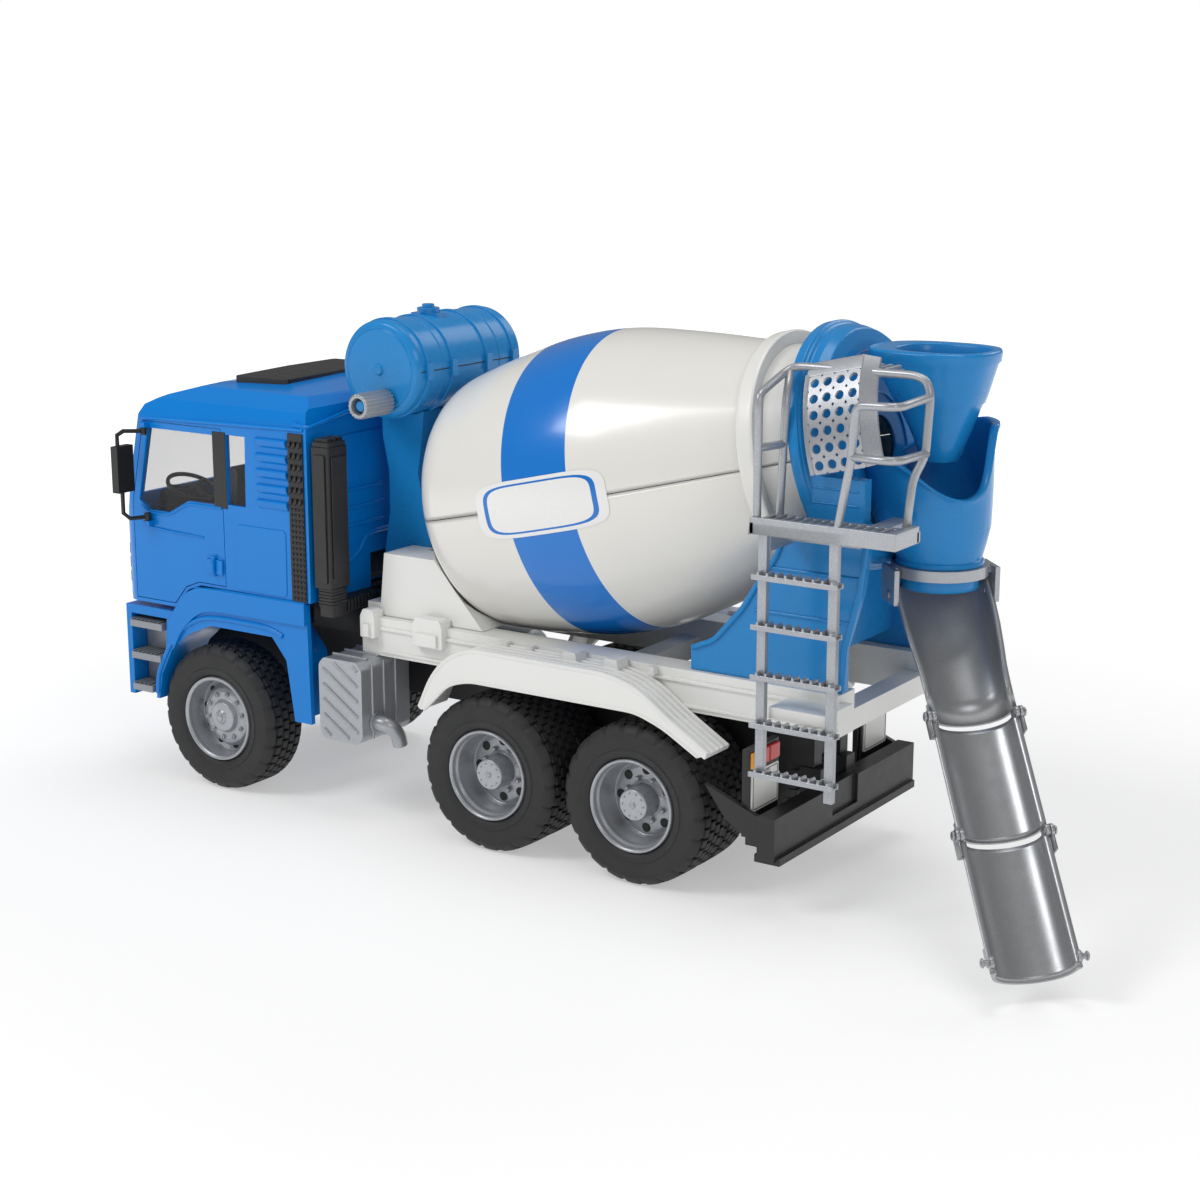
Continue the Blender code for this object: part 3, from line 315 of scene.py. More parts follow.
finishSettings = {
    # other is the second shade, rough the lowest and highest roughness, grain is per m, its height in mm
    "cabBlue": dict(colour=(0.0, 0.190, 0.610), other=(0.0005, 0.206, 0.650), rough=(0.19, 0.27), coat=0.12,
        shine=0.28),
    "bodyBlue": dict(colour=(0.010, 0.216, 0.545), other=(0.014, 0.234, 0.585), rough=(0.22, 0.31), coat=0.12,
        shine=0.3),
    "whitePlastic": dict(colour=(0.78, 0.78, 0.755), other=(0.82, 0.82, 0.80), rough=(0.28, 0.38)),
    "ringWhite": dict(colour=(0.74, 0.735, 0.70), other=(0.78, 0.775, 0.75), rough=(0.26, 0.34), coat=0.15),
    "blackPlastic": dict(colour=(0.012, 0.012, 0.013), other=(0.02, 0.02, 0.021), rough=(0.34, 0.5),
        grain=1600, height=0.010, coat=0.0),
    "dullBlack": dict(colour=(0.010, 0.010, 0.011), other=(0.018, 0.018, 0.019), rough=(0.5, 0.65),
        grain=1600, height=0.012, coat=0.0),
    "tyreRubber": dict(colour=(0.014, 0.0145, 0.0155), other=(0.026, 0.026, 0.027), rough=(0.52, 0.68),
        grain=2200, height=0.018, coat=0.0),
    "silverPlastic": dict(colour=(0.36, 0.375, 0.40), other=(0.44, 0.455, 0.48), rough=(0.30, 0.42),
        metallic=0.55, grain=3500, flake=0.5),
    "greyPlastic": dict(colour=(0.25, 0.265, 0.29), other=(0.31, 0.325, 0.35), rough=(0.34, 0.46),
        metallic=0.35, grain=3500, height=0.005, coat=0.05, flake=0.4),
    "chuteSilver": dict(colour=(0.36, 0.37, 0.385), other=(0.44, 0.45, 0.46), rough=(0.30, 0.40),
        metallic=0.72, grain=2600, height=0.002, coat=0.15, flake=0.25),
    "steel": dict(colour=(0.50, 0.50, 0.51), other=(0.58, 0.58, 0.59), rough=(0.22, 0.34), metallic=1.0,
        grain=2600, height=0.003, coat=0.0),
    "lampRed": dict(colour=(0.52, 0.010, 0.008), other=(0.60, 0.016, 0.012), rough=(0.18, 0.26), grain=700,
        coat=0.4),
    "lampAmber": dict(colour=(0.72, 0.30, 0.012), other=(0.80, 0.36, 0.02), rough=(0.18, 0.26), grain=700,
        coat=0.4),
    "lampClear": dict(colour=(0.70, 0.72, 0.74), other=(0.80, 0.82, 0.84), rough=(0.08, 0.16), grain=700,
        coat=0.5),
    "plateWhite": dict(colour=(0.72, 0.72, 0.69), other=(0.76, 0.76, 0.73), rough=(0.3, 0.4), height=0.003),
}


def plastic(name, colour, other, rough, grain=900, height=0.004, coat=0.1, metallic=0.0, flake=0.0,
        shine=0.5):
    # base colour drifts slowly between two shades, flakes add a sparkle, and a fine grain lifts the surface
    material = bpy.data.materials.new(name)
    material.use_nodes = True
    tree = material.node_tree
    shader = tree.nodes["Principled BSDF"]
    shader.inputs["Metallic"].default_value = metallic
    shader.inputs["Specular IOR Level"].default_value = shine
    shader.inputs["Coat Weight"].default_value = coat
    shader.inputs["Coat Roughness"].default_value = 0.12
    place = node(tree, "ShaderNodeTexCoord", (-1000, 0))
    drift = node(tree, "ShaderNodeTexNoise", (-800, 200), Scale=18.0, Detail=3.0, Roughness=0.55)
    fine = node(tree, "ShaderNodeTexNoise", (-800, -150), Scale=float(grain), Detail=2.0, Roughness=0.6)
    peel = node(tree, "ShaderNodeTexNoise", (-800, -400), Scale=grain * 0.09, Detail=1.5, Roughness=0.5)
    tint = node(tree, "ShaderNodeMix", (-500, 200), data_type="RGBA")
    tint.inputs[6].default_value, tint.inputs[7].default_value = (*colour, 1), (*other, 1)
    link(tree, drift, "Fac", tint, 0)
    last = tint.outputs[2]
    if flake:
        sparkle = node(tree, "ShaderNodeTexVoronoi", (-800, 450), Scale=grain * 0.55)
        lift = node(tree, "ShaderNodeMapRange", (-600, 450))
        for key, value in (("From Min", 0.0), ("From Max", 0.9), ("To Min", 1.0 - flake * 0.3),
                ("To Max", 1.0 + flake * 0.35)):
            lift.inputs[key].default_value = value
        multiply = node(tree, "ShaderNodeVectorMath", (-300, 350), operation="MULTIPLY")
        link(tree, place, "Object", sparkle, "Vector")
        link(tree, sparkle, "Distance", lift, "Value")
        tree.links.new(last, multiply.inputs[0])
        link(tree, lift, "Result", multiply, 1)
        last = multiply.outputs["Vector"]
    tree.links.new(last, shader.inputs["Base Color"])
    gloss = node(tree, "ShaderNodeMapRange", (-500, -50))
    gloss.inputs["To Min"].default_value, gloss.inputs["To Max"].default_value = rough
    link(tree, peel, "Fac", gloss, "Value")
    link(tree, gloss, "Result", shader, "Roughness")
    bump = node(tree, "ShaderNodeBump", (-250, -300), Distance=height * 0.001, Strength=0.6)
    sway = node(tree, "ShaderNodeBump", (-450, -400), Distance=height * 0.006, Strength=0.35)
    link(tree, fine, "Fac", bump, "Height")
    link(tree, peel, "Fac", sway, "Height")
    link(tree, sway, "Normal", bump, "Normal")
    link(tree, bump, "Normal", shader, "Normal")
    for texture in (drift, fine, peel):
        link(tree, place, "Object", texture, "Vector")
    return material


finishes = {name: plastic(name, **settings) for name, settings in finishSettings.items()}

drumFrame = dict(start=(116.1, 0.0, 163.7), axis=(0.97334, 0.0, 0.22937), band=(93.0, 133.0),
    blue=(0.0, 0.170, 0.590))
drumAxes = (np.array([0.22937, 0.0, -0.97334]), np.array([0.0, 1.0, 0.0]))


def paintBetween(tree, source, output, edges, colour):
    # lays a colour over the base colour wherever the source's value lies between two edges
    shader = tree.nodes["Principled BSDF"]
    low = node(tree, "ShaderNodeMath", (-600, 950), operation="GREATER_THAN")
    high = node(tree, "ShaderNodeMath", (-600, 800), operation="LESS_THAN")
    low.inputs[1].default_value, high.inputs[1].default_value = edges
    both = node(tree, "ShaderNodeMath", (-400, 900), operation="MULTIPLY")
    mix = node(tree, "ShaderNodeMix", (-150, 600), data_type="RGBA")
    mix.inputs[7].default_value = (*colour, 1)
    link(tree, source, output, low, 0)
    link(tree, source, output, high, 0)
    link(tree, low, 0, both, 0)
    link(tree, high, 0, both, 1)
    tree.links.new(shader.inputs["Base Color"].links[0].from_socket, mix.inputs[6])
    link(tree, both, 0, mix, 0)
    link(tree, mix, 2, shader, "Base Color")


def drumPaint():
    # off-white plastic with a blue band between two distances along the drum's axis
    material = plastic("drumPaint", (0.735, 0.725, 0.685), (0.77, 0.76, 0.725), (0.20, 0.28), 900, 0.003,
        0.35)
    tree = material.node_tree
    start = Vector(drumFrame["start"]) * 0.001 + Vector(truckZero)
    place = node(tree, "ShaderNodeTexCoord", (-1000, 900))
    along = node(tree, "ShaderNodeVectorMath", (-800, 900), operation="DOT_PRODUCT")
    along.inputs[1].default_value = drumFrame["axis"]
    link(tree, place, "Object", along, 0)
    base = Vector(drumFrame["axis"]).dot(start)
    edges = [base + edge * 0.001 for edge in drumFrame["band"]]
    paintBetween(tree, along, "Value", edges, drumFrame["blue"])
    return material


def stickerPaint(name, ground, line, edges):
    # a printed sticker: u runs from 0 at the middle to 1 at the rim, and the line lies between two values of it
    material = plastic(name, ground, ground, (0.22, 0.3), 900, 0.002, 0.3)
    tree = material.node_tree
    place = node(tree, "ShaderNodeUVMap", (-1000, 900), uv_map="pattern")
    split = node(tree, "ShaderNodeSeparateXYZ", (-850, 900))
    link(tree, place, "UV", split, 0)
    paintBetween(tree, split, "X", edges, line)
    return material


def clearPlastic():
    # thin window plastic: mostly see-through with a cool tint and a glossy face
    material = plastic("clearPlastic", (0.10, 0.10, 0.105), (0.12, 0.12, 0.125), (0.03, 0.06), 500, 0.001,
        0.05, shine=0.25)
    material.node_tree.nodes["Principled BSDF"].inputs["Alpha"].default_value = 0.16
    return material


finishes["drumPaint"] = drumPaint()
finishes["clearPlastic"] = clearPlastic()
print("finishes made:", len(finishes))

# ---- wheels

tyreSettings = dict(radius=42.0, bead=24.6, face=76.0, frontWidth=30.0, rearWidth=54.0, pitches=44, depth=1.7,
    columnPitch=4.9)


def tyre(x, side, width):
    # radius as a function of angle and distance in from the outer face: a carcass curve less a block pattern
    s = tyreSettings
    fractions = np.array([0.0, 0.16, 0.22, 0.44, 0.5, 0.66, 0.72, 0.94])
    turn = ((np.arange(s["pitches"])[:, None] + fractions) / s["pitches"]).ravel()
    columns = int(round((width - 10) / s["columnPitch"]))
    pitch = (width - 10) / columns
    across = 5 + (np.arange(columns)[:, None] + np.array([0.0, 0.16, 0.23, 0.93])) * pitch
    inTread = np.append(across.ravel(), width - 5)
    wall = np.array([(s["bead"], 2.2), (25.6, 1.0), (27.2, 0.5), (28.0, 0.05), (29.2, 0.0), (29.6, 0.45),
        (33, 0.15), (36.2, 0.5), (37.2, 0.4), (38.6, 1.1), (39.8, 2.0), (40.8, 3.1), (41.5, 4.2)])
    other = np.array([(s["bead"], width - 1.2), (27, width - 0.2), (34, width), (37.4, width - 0.6),
        (39.8, width - 2.2), (41.4, width - 4.2)])
    distance = np.concatenate([wall[:, 1], inTread, other[::-1, 1]])
    crown = s["radius"] - 0.9 * ((inTread - width / 2) / (width / 2)) ** 4
    if width > 40:
        crown = crown - 3.2 * np.exp(-((inTread - width / 2) / 1.6) ** 2)
    radius = np.concatenate([wall[:, 0], crown, other[::-1, 0]])
    def ridge(f):
        return np.interp(f, [0, 0.16, 0.22, 0.94, 1.0], [0, 0, 1, 1, 0])
    f = (turn * s["pitches"]) % 1
    column = np.clip(((inTread - 5) // pitch), 0, columns - 1).astype(int)
    inColumn = np.interp(((inTread - 5) / pitch) % 1, [0, 0.16, 0.23, 0.93, 1.0], [0, 0, 1, 1, 0])
    shifted = np.where(column % 2 == 0, ridge(f)[:, None], ridge((f + 0.5) % 1)[:, None])
    cut = s["depth"] * (1 - np.minimum(shifted, np.maximum(inColumn, 0.35)))
    shoulder = np.interp(wall[:, 0], [37.0, 38.4, 41.5], [0, 0.8,
        1.0]) * 1.1 * (1 - ridge((f * 0.5 + (np.floor(turn * s["pitches"]) % 2) * 0.5)[:, None]))
    farShoulder = np.interp(other[::-1, 0], [37.0, 38.4, 41.5], [0, 0.8, 1.0]) * 1.1 * (1 - ridge(f)[:, None])
    relief = np.concatenate([shoulder, cut, farShoulder], 1)
    r = radius[None, :] - relief
    angle = 2 * np.pi * turn[:, None]
    y = side * (s["face"] - distance)[None, :] + 0 * r
    points = np.stack([x + r * np.cos(angle), y, s["radius"] + r * np.sin(angle)], -1)
    return points.reshape(-1, 3), gridFaces(len(turn), len(distance), True, True)


def ringOf(count, radius, x, z, first=0.0):
    # places evenly round a wheel
    turn = np.radians(first) + np.arange(count) * 2 * np.pi / count
    return [(x + radius * math.cos(t), z + radius * math.sin(t)) for t in turn]


def rimRods(places, side, start, end, radius, sides):
    # short round bars square to the wheel, their ends counted inwards from its outer face
    return [rod((x, side * (76.0 - start), z), (x, side * (76.0 - end), z), radius, sides) for x, z in places]


def frontRim(x, side):
    z = tyreSettings["radius"]
    f = lambda d: side * (76.0 - d)
    body = lathe([(r, f(d)) for r, d in softened([(0, 3.4), (3.2, 3.4), (3.9, 4.6), (8.2, 5.2), (9.6, 8.2),
        (13.5, 8.0), (16.0, 8.8), (19.0, 12.8), (21.6, 13.2), (22.4, 4.0), (22.0, 1.2), (23.6, 0.2),
        (24.3, 0.8), (24.3, 29.0), (20.5, 29.0), (20.5, 16.0), (5, 14.5), (0, 14.5)], 0.5, 3)],
        **alongY(x, z), steps=72)
    studs = [together(rod((px, f(9.5), pz), (px, f(6.6), pz), 1.45, 10),
        rod((px, f(8.5), pz), (px, f(5.7), pz), 0.85, 8)) for px, pz in ringOf(10, 12.9, x, z, 9)]
    # dark discs in the vent holes: painted shade where the open holes would show the dark inside of the wheel
    ventShade = rimRods(ringOf(10, 18.4, x, z, 27), side, 14.0, 11.6, 1.7, 10)
    hub = lathe([(0, f(2.6)), (1.9, f(2.6)), (2.4, f(3.2)), (2.4, f(5))], **alongY(x, z), steps=28)
    return together(body, hub, *studs), together(*ventShade)


def rearRim(x, side):
    z = tyreSettings["radius"]
    f = lambda d: side * (76.0 - d)
    body = lathe([(r, f(d)) for r, d in softened([(0, 3.0), (7.6, 3.0), (8.2, 3.6), (8.4, 14.6), (10.2, 15.6),
        (16.6, 16.2), (19.6, 17.6), (20.6, 15.4), (21.4, 8.0), (21.2, 5.2), (22.4, 3.6), (22.3, 1.4),
        (23.4, 0.2), (24.3, 0.8), (24.3, 53.0), (20.5, 53.0), (20.5, 22.0), (5, 21.0), (0, 21.0)], 0.5, 3)],
        **alongY(x, z), steps=72)
    rivets = rimRods(ringOf(10, 6.2, x, z), side, 4.0, 2.5, 0.55, 8)
    nuts = rimRods(ringOf(8, 11.4, x, z, 22.5), side, 16.4, 13.2, 1.25, 6)
    rivets.append(lathe([(0, f(2.2)), (1.2, f(2.2)), (1.6, f(2.8)), (1.6, f(4))], **alongY(x, z), steps=20))
    # dark discs in the rim's holes: painted shade where the open holes would show the dark inside of the wheel
    holes = rimRods(ringOf(8, 15.2, x, z), side, 17.4, 15.65, 2.5, 18)
    return together(body, *rivets, *nuts), together(*holes)


for sideName, side in (("left", -1), ("right", 1)):
    for wheelName, x, width, rim in (("front_wheel", 0.0, 30.0, frontRim),
            ("rear_wheel_1", 190.0, 54.0, rearRim), ("rear_wheel_2", 279.4, 54.0, rearRim)):
        full = f"{sideName}_{wheelName}"
        make(full + "_treaded_tyre", tyre(x, side, width), "tyreRubber", full, full + "_tyre", sharp=34)
        silver, dark = rim(x, side)
        make(full + "_fine_rim", silver, "silverPlastic", full, full + "_rim")
        # the dark discs are painted shade standing in for the rim's open holes
        make(full + "_rim_hole_shade", dark, "dullBlack", full)
print("wheels made")

# ---- drum

drumShape = [(25, 0), (36, 6), (48, 16), (66, 32), (72.5, 55), (76.4, 80), (79.2, 105), (78, 135),
    (70.4, 170), (59.5, 210), (48, 250)]
drumCurve = smoothCurve(drumShape, 6)


def drumRadius(s):
    return np.interp(s, drumCurve[:, 1], drumCurve[:, 0])


def onDrum(**more):
    return dict(origin=drumFrame["start"], axis=drumFrame["axis"], axes=drumAxes, **more)


for half, sweep in (("lower", (-89.85, 89.85)), ("upper", (90.15, 269.85))):
    loop = np.concatenate([drumCurve, (drumCurve - [1.8, 0])[::-1]])
    make(f"drum_{half}_half", lathe(loop, **onDrum(steps=97, closed=True, sweep=sweep)), "drumPaint", "drum",
        f"drum_shell_{half}")
ring = softened([(55.6, 222), (60.4, 220.6), (61.2, 222.2), (61.2, 228.6), (60.4, 230.0), (54.0, 228.8)], 0.5,
    3, True)
make("drum_ring_smooth", lathe(ring, **onDrum(steps=120, closed=True)), "ringWhite", "drum",
    "drum_running_ring")


def aboutDrum(along, radius, c, d):
    # the place "along" the drum's axis and "radius" from it, turned by the cosine and sine given
    reach = radius * (c[..., None] * drumAxes[0] + d[..., None] * drumAxes[1])
    return np.array(drumFrame["start"]) + along[..., None] * np.array(drumFrame["axis"]) + reach


labelSettings = dict(middle=113.0, halfLong=40.0, halfTall=14.5, power=5.0, lift=0.12, thick=0.16, rings=13,
    points=72)


def drumLabel():
    # a rounded oblong laid on the drum: rings of a superellipse, each point lifted to the drum's own radius
    s = labelSettings
    share, turn = np.meshgrid(np.linspace(0, 1, s["rings"]), np.linspace(0, 2 * np.pi, s["points"],
        endpoint=False), indexing="ij")
    c, d = np.cos(turn), np.sin(turn)
    reach = (np.abs(c) ** s["power"] + np.abs(d) ** s["power"]) ** (-1 / s["power"])
    along = s["middle"] + share * s["halfLong"] * c * reach
    arc = share * s["halfTall"] * d * reach
    layers, uv = [], []
    for lift in (s["lift"] + s["thick"], s["lift"]):
        r = drumRadius(along) + lift
        angle = np.radians(-90) + arc / drumRadius(along)
        layers.append(aboutDrum(along, r[..., None], np.cos(angle), np.sin(angle)).reshape(-1, 3))
        uv.append(np.stack([share, turn / 7], -1).reshape(-1, 2))
    n = layers[0].shape[0]
    faces = gridFaces(s["rings"], s["points"], False, True) + gridFaces(s["rings"], s["points"], False, True,
        n)
    rim = np.arange(n - s["points"], n)
    faces += np.stack([rim, np.roll(rim, -1), np.roll(rim, -1) + n, rim + n], -1).tolist()
    return (np.concatenate(layers), faces), np.concatenate(uv)


labelShape, labelUv = drumLabel()
finishes["labelPaint"] = stickerPaint("labelPaint", (0.80, 0.80, 0.79), (0.002, 0.16, 0.56), (0.80, 0.87))
make("drum_label_blank", labelShape, "labelPaint", "drum", uv=labelUv)
print("drum made")

# ---- water tank and knob

tank = dict(x=101.5, z=244.9, radius=26.2, half=46.0, seam=21.8)
tankProfile = softened([(0, -tank["half"] - 2.6), (2.6, -tank["half"] - 2.6), (3.0, -tank["half"] - 1.2),
    (21.4, -tank["half"] - 1.0), (21.8, -tank["half"] - 0.3), (22.2, -tank["half"] - 0.9),
    (24.6, -tank["half"] - 0.2), (26.2, -tank["half"] + 1.8), (26.2, -25.4), (25.8, -25.2), (25.8, -24.8),
    (26.2, -24.6), (26.2, 24.6), (25.8, 24.8), (25.8, 25.2), (26.2, 25.4), (26.2, tank["half"] - 1.8),
    (24.6, tank["half"] + 0.2), (22.2, tank["half"] + 0.9), (21.8, tank["half"] + 0.3),
    (21.4, tank["half"] + 1.0), (3.0, tank["half"] + 1.2), (2.6, tank["half"] + 2.6),
    (0, tank["half"] + 2.6)], 0.5, 3)
straps = [lathe(softened([(25.9, y - 1.7), (27.1, y - 1.5), (27.1, y + 1.5), (25.9, y + 1.7)], 0.3, 3, True),
    **alongY(tank["x"], tank["z"]), steps=96, closed=True) for y in (-38, -17, 14, 38)]
clips = [together(block((tank["x"] + sx * 26.0 - 2.2, tank["x"] + sx * 26.0 + 2.2), (y - 2.4, y + 2.4),
    (tank["z"] - 4.5, tank["z"] + 4.5))) for y in (-38, -17, 14, 38) for sx in (-1, 1)]
filler = together(rod((tank["x"], -4, 268), (tank["x"], -4, 274.5), 6.2, 28),
    rod((tank["x"], -4, 274), (tank["x"], -4, 276.4), 3.4, 20),
    block((tank["x"] - 9, tank["x"] + 9), (-8, 0), (269, 271.6)))
seamLine = together(*[block((tank["x"] + sx * 26.15 - 0.3, tank["x"] + sx * 26.15 + 0.3), (-44, 44),
    (tank["z"] - 0.25, tank["z"] + 0.25)) for sx in (-1, 1)])
make("tank_barrel", lathe(tankProfile, **alongY(tank["x"], tank["z"]), steps=120), "bodyBlue", "chassis",
    ("tank_shell_upper", "tank_shell_lower"))
make("tank_straps_and_cap", together(*straps, *clips, filler), "bodyBlue", "chassis", bevel=0.3)
make("tank_seam", seamLine, "dullBlack", "chassis")

knob = dict(x=106.4, z=228.4, outer=6.6, inner=4.3, near=-71.6, far=-52.0, flutes=20)


def flutedKnob():
    # a hollow sleeve whose outer radius ripples with the angle
    k = knob
    turn = np.linspace(0, 2 * np.pi, k["flutes"] * 8, endpoint=False)
    ripple = 0.28 * np.clip(np.cos(turn * k["flutes"]) * 2.2, -1, 1)
    profile = np.array([(k["inner"], k["near"] + 0.4), (k["inner"] + 0.3, k["near"]),
        (k["outer"] - 0.7, k["near"]), (k["outer"], k["near"] + 0.7), (k["outer"], k["far"] + 3),
        (k["outer"] - 1.6, k["far"]), (k["inner"], k["far"]), (k["inner"], k["near"] + 9)])
    r = profile[None, :, 0] + ripple[:, None] * np.array([0, 0, 0.3, 1, 1, 0.4, 0, 0])[None, :]
    points = np.stack([k["x"] + r * np.cos(turn)[:, None], profile[None, :, 1] + 0 * r,
        k["z"] + r * np.sin(turn)[:, None]], -1)
    return points.reshape(-1, 3), gridFaces(len(turn), len(profile), True, True)


make("knob_sleeve", flutedKnob(), "silverPlastic", "crank", "turning_knob")
make("knob_pin", together(lathe(softened([(0, -69.6), (2.6, -69.6), (3.1, -69), (3.1, -52), (0, -52)], 0.4,
    3), **alongY(knob["x"], knob["z"]), steps=32), *[block((knob["x"] - 4.4, knob["x"] + 4.4), (-66, -64),
    (knob["z"] - 0.6, knob["z"] + 0.6))]), "bodyBlue", "crank")
print("tank made")

# ---- hopper, mouth cap and discharge spout

hopper = dict(levels=[(272, 371.6, 432.4, 24.8), (270.6, 371.0, 433.0, 25.4), (266.5, 371.4, 432.6, 25.0),
    (265.4, 373.0, 431.4, 24.0), (252, 381, 427.6, 20.6), (246.6, 384.0, 425.8, 19.2),
    (246.0, 385.2, 424.8, 18.2), (236, 391, 421.2, 15.2), (226, 395.5, 417.6, 12.2),
    (219, 397.5, 415.0, 10.6)], roundness=2.5, points=96)


def hopperShell():
    # superellipse rings stepped down the outside and back up the inside
    turn = np.linspace(0, 2 * np.pi, hopper["points"], endpoint=False)
    c, d = np.cos(turn), np.sin(turn)
    reach = (np.abs(c) ** hopper["roundness"]
        + np.abs(d) ** hopper["roundness"]) ** (-1 / hopper["roundness"])
    outer = np.array(hopper["levels"], float)
    inner = np.array([(220, 399.4, 413.2, 8.8), (228, 397.0, 416.4, 11.0), (240, 392.4, 420.6, 14.4),
        (254, 386.6, 426.6, 17.4), (268, 384.6, 428.2, 18.6), (271.2, 383.8, 428.8, 19.2),
        (272, 382.6, 429.6, 20.0)])
    levels = np.concatenate([outer, inner])
    z, low, high, half = levels.T[:, :, None]
    x = (low + high) / 2 + (high - low) / 2 * (c * reach)[None]
    return np.stack([x, half * (d * reach)[None], z + 0 * x], -1).reshape(-1, 3), gridFaces(len(levels),
        hopper["points"], True, True)


make("hopper_funnel", hopperShell(), "bodyBlue", "chassis", "hopper")

capRim = softened([(57.4, 249.6), (61.6, 249.6), (61.6, 254.6), (60.2, 255.2), (60.2, 256.0), (58.6, 257.0),
    (58.2, 261.0), (55.6, 265.6), (49, 267.0), (44.4, 267.2), (44.4, 265.4), (54.0, 263.6), (56.4, 260.0),
    (56.8, 255.0)], 0.6, 3, True)
capFace = [(13, 264.6), (13, 266.8), (45, 266.8), (45, 265.4)]
capRibs = [lathe(softened([(r - 0.5, 266.4), (r - 0.3, 267.7), (r + 0.3, 267.7), (r + 0.5, 266.4)], 0.2, 2,
    True), **onDrum(steps=90, closed=True, sweep=(46, 314))) for r in (24, 36)]
capBlocks = [block((366, 396), out(side, 51, 58), (189.8, 216)) for side in (-1, 1)]
blockSeams = [block((369, 393), out(side, 57.8, 58.4), (z, z + 1.0)) for side in (-1, 1)
    for z in (195, 203, 210)]
make("cap_dome", together(lathe(capRim, **onDrum(steps=132, closed=True)),
    lathe(capFace, **onDrum(steps=110, closed=True, sweep=(44, 316))), *capRibs), "bodyBlue", "chassis",
    "drum_mouth_cap")
make("cap_hinge_blocks", together(*capBlocks, *blockSeams), "bodyBlue", "chassis", bevel=0.6)

spout = dict(rimAt=[(-180, 208), (-140, 216), (-110, 222), (-90, 221), (-75, 216), (-60, 209.4), (-45, 205.2),
    (-30, 203.6), (-15, 205.6), (-6, 211), (0, 221), (6, 235), (12, 237), (60, 237), (100, 230), (140, 218),
    (180, 208)], radiusAt=[(157, 19.0), (168.5, 19.2), (172, 20.4), (186, 27.8), (205, 31.2), (237, 32.2)],
    middleAt=[(157, 408), (171, 408), (186, 403.6), (205, 400.4), (237, 399)], wall=1.7)


def spoutShell():
    # a funnel whose top edge rises and falls with the angle round it; the edge carries a rolled lip
    turn = np.radians(np.linspace(-180, 180, 200, endpoint=False))
    rim = np.interp(np.degrees(turn), *np.array(spout["rimAt"]).T)
    rim = np.convolve(np.concatenate([rim[-3:], rim, rim[:3]]), np.ones(7) / 7, "valid")
    bottom = 157.5
    outer = np.array([(0.0, 0.0), (0.0, 1.9), (0.022, 2.2), (0.034, 0.3), (0.1, 0), (0.22, 0), (0.36, 0),
        (0.5, 0), (0.62, 0), (0.72, 0), (0.80, 0), (0.84, 0), (0.88, 0), (0.94, 0), (1.0, 0)])
    inner = np.array([(t, -spout["wall"]) for t in (1.0, 0.9, 0.8, 0.7, 0.55, 0.4, 0.25, 0.1, 0.03, 0.0)])
    loop = np.concatenate([outer, inner])
    z = rim[:, None] - loop[None, :, 0] * (rim[:, None] - bottom)
    r = np.interp(z, *np.array(spout["radiusAt"]).T) + loop[None, :, 1]
    middle = np.interp(z, *np.array(spout["middleAt"]).T)
    points = np.stack([middle + r * np.cos(turn)[:, None], r * np.sin(turn)[:, None], z], -1)
    return points.reshape(-1, 3), gridFaces(len(turn), len(loop), True, True)


collar = lathe(softened([(18.6, 168.8), (21.0, 168.8), (21.4, 169.6), (21.0, 171.4), (19.8, 172.4),
    (18.6, 172.0)], 0.4, 3, True), (408, 0, 0), (0, 0, 1), 90, closed=True)
rib = slab([(381, 176), (379, 205), (383, 205), (388, 178)], -1.2, 1.2)
make("spout_funnel", together(spoutShell(), collar, rib), "bodyBlue", "chassis", "discharge_spout")
print("hopper and spout made")

# ---- chute: three troughs hooked end to end

chute = dict(swing=46.0, slope=45.0, top=(2.0, 162.0), outlet=408.0, wall=1.5, length=76.0, pitch=61.0,
    lift=0.8)
swing, slope = math.radians(chute["swing"]), math.radians(chute["slope"])
heading = np.array([math.cos(swing), -math.sin(swing), 0.0])
across = np.array([math.sin(swing), math.cos(swing), 0.0])
downSlope = heading * math.cos(slope) - np.array([0, 0, math.sin(slope)])
outOfSlope = heading * math.sin(slope) + np.array([0, 0, math.cos(slope)])
chuteStart = np.array([chute["outlet"], 0, 0]) + heading * chute["top"][0] + np.array([0, 0, chute["top"][1]])


def onChute(t, v, w):
    t, v, w = (np.asarray(a, float)[..., None] for a in (t, v, w))
    return chuteStart + downSlope * t + across * v + outOfSlope * w


def chuteBlock(t, v, w):
    points, faces = block(t, v, w)
    return onChute(points[:, 0], points[:, 1], points[:, 2]), faces


def chutePin(t, w, v0, v1, radius, sides=18):
    return rod(onChute(t, v0, w), onChute(t, v1, w), radius, sides)


def troughShell(stations):
    # a U section carried down the slope; each station gives (t, half width, depth) and the rims turn outwards
    s = np.array(stations, float)
    turn = np.linspace(0, np.pi, 33)
    t = s[:, :1]
    rings = []
    for shrink, order in ((0.0, 1), (chute["wall"], -1)):
        half, deep = s[:, 1:2] - shrink, s[:, 2:3] - shrink
        v = -half * np.cos(turn)[None, ::order]
        w = -deep * np.sin(turn)[None, ::order] ** 0.82
        rings.append((v, w))
    lipOut = s[:, 1:2] + 1.1
    v = np.concatenate([-lipOut, -lipOut, rings[0][0][:, 1:-1], lipOut, lipOut, s[:, 1:2] - chute["wall"],
        rings[1][0][:, 1:-1], -(s[:, 1:2] - chute["wall"])], 1)
    rows = np.ones_like(t)
    w = np.concatenate([rows * 0.7, rows * -0.9, rings[0][1][:, 1:-1], rows * -0.9, rows * 0.7, rows * 0.7,
        rings[1][1][:, 1:-1], rows * 0.7], 1)
    return loft(onChute(t + 0 * v, v, w))


